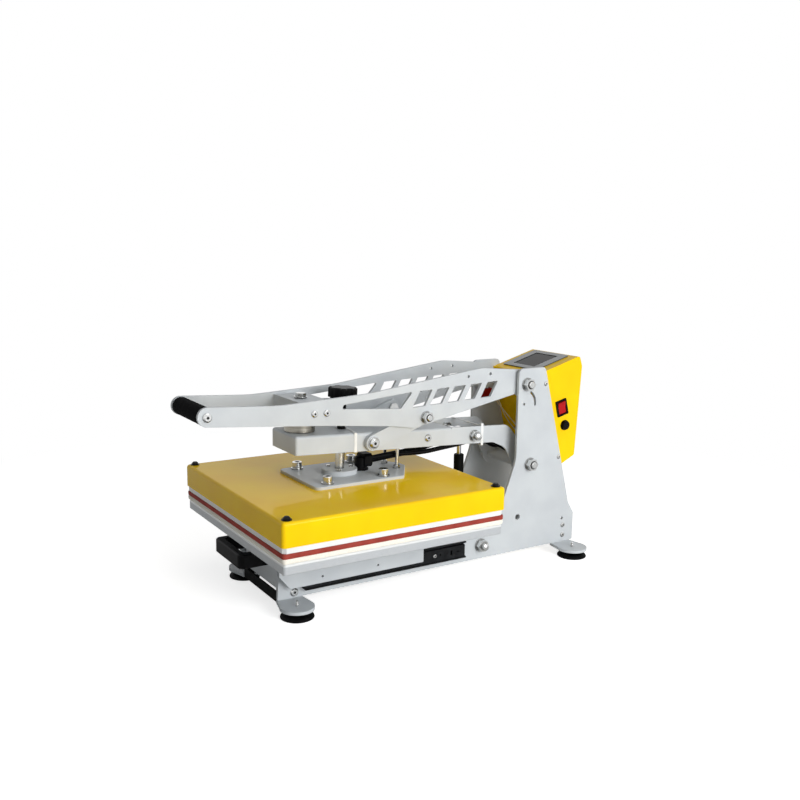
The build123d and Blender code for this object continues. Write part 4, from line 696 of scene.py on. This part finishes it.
def cast_aluminium(name, dark, light, rim):
    """Cast aluminium under a dull satin skin, pale, with a painted highlight along its top edge where the
    edge catches the light.
    """
    made, shader = material(name, light, metallic=0.3, roughness=0.34, shine=0.4)
    tree = made.node_tree
    # The cutter's lines are about 0.1 mm apart, drawn at a quarter of a millimetre so that they show
    lines = mottle(tree, 8, 3, stretch=(1.0, 1.0, 30.0))
    sides = shade(tree, shader, lines, dark, light)
    # Painted highlight: the upper part of the piece's height fades to the pale rim colour
    height = add(tree, "SeparateXYZ", {"Vector": add(tree, "TexCoord").outputs["Generated"]}).outputs["Z"]
    highlight_band = add(tree, "MapRange", {"Value": height}, {"From Min": 0.7, "From Max": 0.76})
    links = {"Factor": highlight_band.outputs["Result"], "A": sides.outputs["Result"]}
    both = add(tree, "Mix", links, {"B": linear(rim)}, data_type="RGBA")
    tree.links.new(both.outputs["Result"], shader.inputs["Base Color"])
    gloss(tree, shader, mottle(tree, 6, 3), 0.28, 0.46)
    relief(tree, shader, lines, 0.02, 0.7, edge_mm=0.6)
    return made


def turned_steel(name):
    """Turned steel: fine rings left by the lathe, round the magnet's axis."""
    made, shader = material(name, "#8E8A80", metallic=1.0, roughness=0.26)
    tree = made.node_tree
    # The lathe's rings are about 0.1 mm apart, drawn at a third of a millimetre so that they show
    rings = mottle(tree, 14, 3, stretch=(0.2, 0.2, 40.0))
    shade(tree, shader, rings, "#6E6A61", "#A9A59A")
    gloss(tree, shader, rings, 0.2, 0.38)
    relief(tree, shader, rings, 0.02, 0.6, edge_mm=0.4)
    return made


def sponge(name):
    """Cream heat-proof sponge: dry, with open cells about a millimetre across."""
    made, shader = material(name, "#F7F3E8", roughness=0.95, ior=1.45, shine=0.1)
    shader.inputs["Sheen Weight"].default_value = 0.1
    tree = made.node_tree
    at = add(tree, "TexCoord").outputs["Object"]
    cells = add(tree, "TexVoronoi", {"Vector": at}, {"Scale": 1000 / 1.3})
    shade(tree, shader, cells.outputs["Distance"], "#FBF8EF", "#EFE9DA", 0.1, 0.9)
    relief(tree, shader, cells.outputs["Distance"], 0.25, 0.35)
    return made


def silicone_sheet(name):
    """Red-brown silicone rubber: matt, dense and faintly dusty."""
    made, shader = material(name, "#9A4138", roughness=0.62, ior=1.41, shine=0.14)
    tree = made.node_tree
    shade(tree, shader, mottle(tree, 22, 4), "#943B33", "#A3463B")
    gloss(tree, shader, mottle(tree, 6, 2), 0.55, 0.72)
    # The grain that pressing leaves is about 0.2 mm, drawn at 1.4 mm so that it shows
    relief(tree, shader, mottle(tree, 1.4, 3), 0.08, 0.5)
    return made


def foam_rubber(name):
    """Black closed-cell foam rubber: dull, with a pebbled skin."""
    made, shader = material(name, "#08080A", roughness=0.86, shine=0.03)
    tree = made.node_tree
    # The cells are about half a millimetre across, drawn at 1.8 mm so that they show
    at = add(tree, "TexCoord").outputs["Object"]
    cells = add(tree, "TexVoronoi", {"Vector": at}, {"Scale": 1000 / 1.8})
    shade(tree, shader, cells.outputs["Distance"], "#0D0D0E", "#040405", 0.1, 0.9)
    relief(tree, shader, cells.outputs["Distance"], 0.35, 0.6)
    return made


def moulded_rubber(name, dark="#040405", light="#0B0B0C", rough=(0.5, 0.68)):
    """Moulded black rubber: soft highlights over a fine grain."""
    made, shader = material(name, light, roughness=0.6, ior=1.52, shine=0.06)
    tree = made.node_tree
    shade(tree, shader, mottle(tree, 9, 3), dark, light)
    gloss(tree, shader, mottle(tree, 3, 2), *rough)
    # The mould's grain is about 0.1 mm, drawn at 0.9 mm so that it shows
    relief(tree, shader, mottle(tree, 0.9, 2), 0.03, 0.6, edge_mm=0.4)
    return made


def moulded_plastic(name, dark, light, rough=(0.3, 0.44), edge_mm=0.5, shine=0.2, ior=1.53):
    """Injection-moulded plastic with a fine spark-eroded grain."""
    made, shader = material(name, light, roughness=0.36, ior=ior, shine=shine)
    tree = made.node_tree
    shade(tree, shader, mottle(tree, 15, 2), dark, light)
    gloss(tree, shader, mottle(tree, 3, 2), *rough)
    # The mould's grain is about 0.1 mm, drawn at 0.8 mm so that it shows
    relief(tree, shader, mottle(tree, 0.8, 2), 0.02, 0.6, edge_mm=edge_mm)
    return made


def framed_plastic(name, dark, light):
    """The display's frame: satin grey plastic, with painted shade in the joints on both its sides."""
    made, shader = material(name, light, roughness=0.4, ior=1.54, shine=0.2)
    tree = made.node_tree
    # Painted shade: ambient occlusion darkens the frame near its joints
    joint_shade = add(tree, "AmbientOcclusion", values={"Distance": 6 * MM}, samples=8).outputs["AO"]
    shade(tree, shader, joint_shade, dark, light, 0.55, 0.95)
    gloss(tree, shader, mottle(tree, 3, 2), 0.34, 0.46)
    # The mould's grain is about 0.1 mm, drawn at 0.8 mm so that it shows
    relief(tree, shader, mottle(tree, 0.8, 2), 0.02, 0.6, edge_mm=0.5)
    return made


def screen_glass(name):
    """The display's front: dark coated glass with a hard, even shine."""
    made, shader = material(name, "#101213", roughness=0.1, ior=1.52, shine=0.07)
    tree = made.node_tree
    gloss(tree, shader, mottle(tree, 25, 2), 0.06, 0.12)
    return made


GREY = powder_coat("powder_coated_steel_grey", "#C3C8CC", "#CBD0D3")
YELLOW = gloss_enamel("baked_enamel_yellow", "#FCCB00", "#FFD400")
BLACK_STEEL = blackened_steel("electro_coated_steel_black")
BLACK_COAT = powder_coat("powder_coated_steel_black", "#050606", "#0B0C0C", (0.4, 0.55), 0.06)
PHENOLIC = moulded_plastic("phenolic_dark_red", "#8E100D", "#A21610", (0.3, 0.42), edge_mm=0.3, shine=0.1)
# Painted shade: zinc, chrome rod and spindle steel are darkened by zinc_plate, and their darker colour is
# that shade
ZINC = zinc_plate("bright_zinc_plate")
# Painted shade: a dark matt finish for the screw sockets and the rings round bolt ends, where shade falls
SOCKET_SHADE = moulded_plastic("zinc_socket_in_shadow", "#232425", "#303132", (0.5, 0.6), edge_mm=0.0, shine=0.08)
CHROME_ROD = zinc_plate("ground_chrome_rod", "#6A6B6D", "#DEDFE0", (0.06, 0.12))
SPINDLE = zinc_plate("rolled_thread_steel", "#4E4F50", "#C9C9C5", (0.2, 0.3))
# The last colour is the painted highlight along the platen's top edge
ALUMINIUM = cast_aluminium("cast_aluminium_satin", "#B9BDC1", "#C6CACD", "#E9EBEC")
HEATER_PLATE = powder_coat("fluoropolymer_coated_aluminium", "#E6E8E8", "#F0F1F0", (0.3, 0.42))
MAGNET = turned_steel("turned_steel")
SPONGE = sponge("heatproof_sponge_cream")
SILICONE = silicone_sheet("silicone_rubber_red_brown")
FOAM = foam_rubber("closed_cell_foam_black")
RUBBER = moulded_rubber("moulded_rubber_black")
CABLE = moulded_rubber("silicone_cable_sheath_black", "#070708", "#121214", (0.38, 0.52))
BLACK_PLASTIC = moulded_plastic("glass_filled_nylon_black", "#060607", "#0F0F10", shine=0.07)
CAP_BLACK = moulded_plastic("black_oxide_cap", "#070708", "#101011", (0.12, 0.22), shine=0.16)
# The darker colour is the painted shade in the frame's joints
BEZEL = framed_plastic("moulded_abs_grey", "#33363A", "#A8ABAC")
RED_PLASTIC = moulded_plastic("polycarbonate_red", "#A5090E", "#BC0F14", (0.16, 0.26), shine=0.12, ior=1.585)
NYLON = moulded_plastic("natural_nylon", "#E6E8E8", "#F1F2F1", (0.4, 0.52), edge_mm=0.2)
GLASS = screen_glass("coated_display_glass")
CREAM_WIRE = moulded_plastic("silicone_wire_cream", "#F2E2BE", "#FFF0CF", (0.42, 0.55), edge_mm=0.0)

FINISHES = {
    GREY: [
        "base_plate_right",
        "base_plate_left",
        "rear_crossplate",
        "pivot_spacers",
        "drawer_carriage",
        "press_arm",
        "spindle_nut",
        "lever_plate_right",
        "lever_plate_left",
        "lever_pivot_tube",
        "cross_bracket",
        "link_plates",
        "mounting_plate",
        "hub_flange",
    ],
    YELLOW: ["heat_cover", "control_box", "box_rear_cover"],
    BLACK_STEEL: ["slide_outers", "slide_middles", "slide_inners"],
    BLACK_COAT: ["front_crossbar", "gas_cylinder"],
    ZINC: [
        "frame_screws",
        "pivot_pins",
        "pivot_nuts",
        "drawer_screws",
        "arm_screws",
        "lever_screws",
        "link_pins",
        "plate_bolts",
        "guide_rods",
    ],
    CHROME_ROD: ["gas_rod", "handle_tube"],
    SPINDLE: ["pressure_spindle"],
    ALUMINIUM: ["lower_platen"],
    HEATER_PLATE: ["heat_platen"],
    MAGNET: ["electromagnet"],
    RUBBER: ["foot_front_right", "foot_front_left", "foot_rear_right", "foot_rear_left"],
    BLACK_PLASTIC: [
        "drawer_handle",
        "heater_elbow",
        "pressure_knob",
        "panel_fittings",
        "fuse_cap",
        "power_gland",
    ],
    CAP_BLACK: ["cover_knobs"],
    BEZEL: ["screen_bezel"],
    RED_PLASTIC: ["power_rocker"],
    PHENOLIC: ["limit_switch"],
    NYLON: ["cable_ties"],
    GLASS: ["touch_screen"],
    SPONGE: ["foam_layer"],
    SILICONE: ["silicone_pad"],
    FOAM: ["handle_grip"],
    CABLE: ["cables_head", "cables_arm", "cables_tail"],
    CREAM_WIRE: ["signal_wires"],
}


def dress():
    """Gives each solid its finish."""
    for finish, names in FINISHES.items():
        for name in names:
            worn = nodes[name].data.materials
            worn.clear()
            worn.append(finish)


# Camera, floor and light


def camera():
    """The photograph's camera, looking from the right and a little above."""
    data = bpy.data.cameras.new("camera")
    data.lens = CAMERA_LENS
    data.sensor_width = CAMERA_SENSOR
    data.clip_end = CAMERA_REACH
    held = link("camera", data)
    azimuth = math.radians(CAMERA_AZIMUTH)
    elevation = math.radians(CAMERA_ELEVATION)
    roll = math.radians(CAMERA_ROLL)
    level = math.cos(elevation)
    ahead = Vector((-math.sin(azimuth) * level, math.cos(azimuth) * level, -math.sin(elevation)))
    right = ahead.cross(Vector((0, 0, 1))).normalized()
    up = right.cross(ahead)
    side = right * math.cos(roll) + up * math.sin(roll)
    top = up * math.cos(roll) - right * math.sin(roll)
    turn = Matrix((side, top, -ahead)).transposed()
    held.matrix_world = Matrix.Translation(CAMERA_AT) @ turn.to_4x4()
    bpy.context.scene.camera = held


def floor():
    """A pale floor that keeps the shadow and fades into the background."""
    mesh = bpy.data.meshes.new("floor")
    corners = [(x * FLOOR_HALF, y * FLOOR_HALF, 0) for x, y in ((-1, -1), (1, -1), (1, 1), (-1, 1))]
    mesh.from_pydata(corners, [], [(0, 1, 2, 3)])
    link("floor", mesh)
    made, shader = material("matt_white_floor", "#F4F4F3", roughness=0.9, shine=0.2)
    tree = made.node_tree
    at = add(tree, "TexCoord").outputs["Object"]
    reach = add(tree, "VectorMath", {0: at}, operation="LENGTH")
    fade = add(tree, "MapRange", {"Value": reach.outputs["Value"]}, FLOOR_FADE)
    white = add(tree, "Emission", values={"Color": WHITE, "Strength": 1.0})
    seen = add(tree, "Math", {0: seen_rays(tree), 1: fade.outputs["Result"]}, operation="MULTIPLY")
    lit = add(tree, "AddShader", {0: shader.outputs["BSDF"], 1: lift_of(tree)})
    both = add(tree, "MixShader", {"Fac": seen.outputs["Value"], 1: lit.outputs[0], 2: white.outputs[0]})
    tree.links.new(both.outputs[0], tree.nodes["Material Output"].inputs["Surface"])
    mesh.materials.append(made)


def seen_rays(tree):
    """1 for the rays of the camera and for those that mirrors and glass send on."""
    ways = add(tree, "LightPath")
    links = {0: ways.outputs["Is Camera Ray"], 1: ways.outputs["Is Glossy Ray"]}
    both = add(tree, "Math", links, operation="MAXIMUM")
    links = {0: both.outputs["Value"], 1: ways.outputs["Is Transmission Ray"]}
    return add(tree, "Math", links, operation="MAXIMUM").outputs["Value"]


def lift_of(tree):
    """A little light of the floor's own, for the camera only, that lifts it to white."""
    ways = add(tree, "LightPath")
    none = add(tree, "Emission", values={"Color": WHITE, "Strength": 0.0})
    some = add(tree, "Emission", values={"Color": WHITE, "Strength": FLOOR_LIFT})
    links = {"Fac": ways.outputs["Is Camera Ray"], 1: none.outputs[0], 2: some.outputs[0]}
    return add(tree, "MixShader", links).outputs[0]


def world():
    """White behind everything, and a softly graded room for the light on the object."""
    made = bpy.data.worlds.new("studio")
    bpy.context.scene.world = made
    made.use_nodes = True
    tree = made.node_tree
    tree.nodes.clear()
    at = add(tree, "TexCoord").outputs["Generated"]
    parts = add(tree, "SeparateXYZ", {"Vector": at})
    across = add(tree, "MapRange", {"Value": parts.outputs["X"]}, ROOM_ACROSS)
    along = add(tree, "MapRange", {"Value": parts.outputs["Y"]}, ROOM_ALONG)
    level = add(tree, "Math", {0: across.outputs["Result"], 1: along.outputs["Result"]}, operation="MULTIPLY")
    room = add(tree, "Background", {"Color": level.outputs["Value"]}, {"Strength": 1.0})
    white = add(tree, "Background", values={"Color": WHITE, "Strength": 1.0})
    mix = add(tree, "MixShader", {"Fac": seen_rays(tree), 1: room.outputs[0], 2: white.outputs[0]})
    out = add(tree, "OutputWorld")
    tree.links.new(mix.outputs[0], out.inputs["Surface"])


def soft_box(name, at, target, size, power):
    """A square soft box that looks at a point."""
    data = bpy.data.lights.new(name, "AREA")
    data.size = size
    data.energy = power
    held = link(name, data)
    held.location = at
    held.rotation_mode = "QUATERNION"
    held.rotation_quaternion = (Vector(target) - Vector(at)).to_track_quat("-Z", "Y")


camera()
two_part_cable("heater_cable", HEATER_LINE, HEATER_RADIUS, CABLE)
two_part_cable("sensor_cable", SENSOR_LINE, SENSOR_RADIUS, CABLE)
switch_wires(CREAM_WIRE)
dress()
pads()
grip()
feet()
pressure_spindle()
screw_socket_shade()
nut_recess_shadow()
tie_head()
floor()
world()
for box in SOFT_BOXES:
    soft_box(*box)

bpy.context.scene.view_settings.view_transform = "Standard"
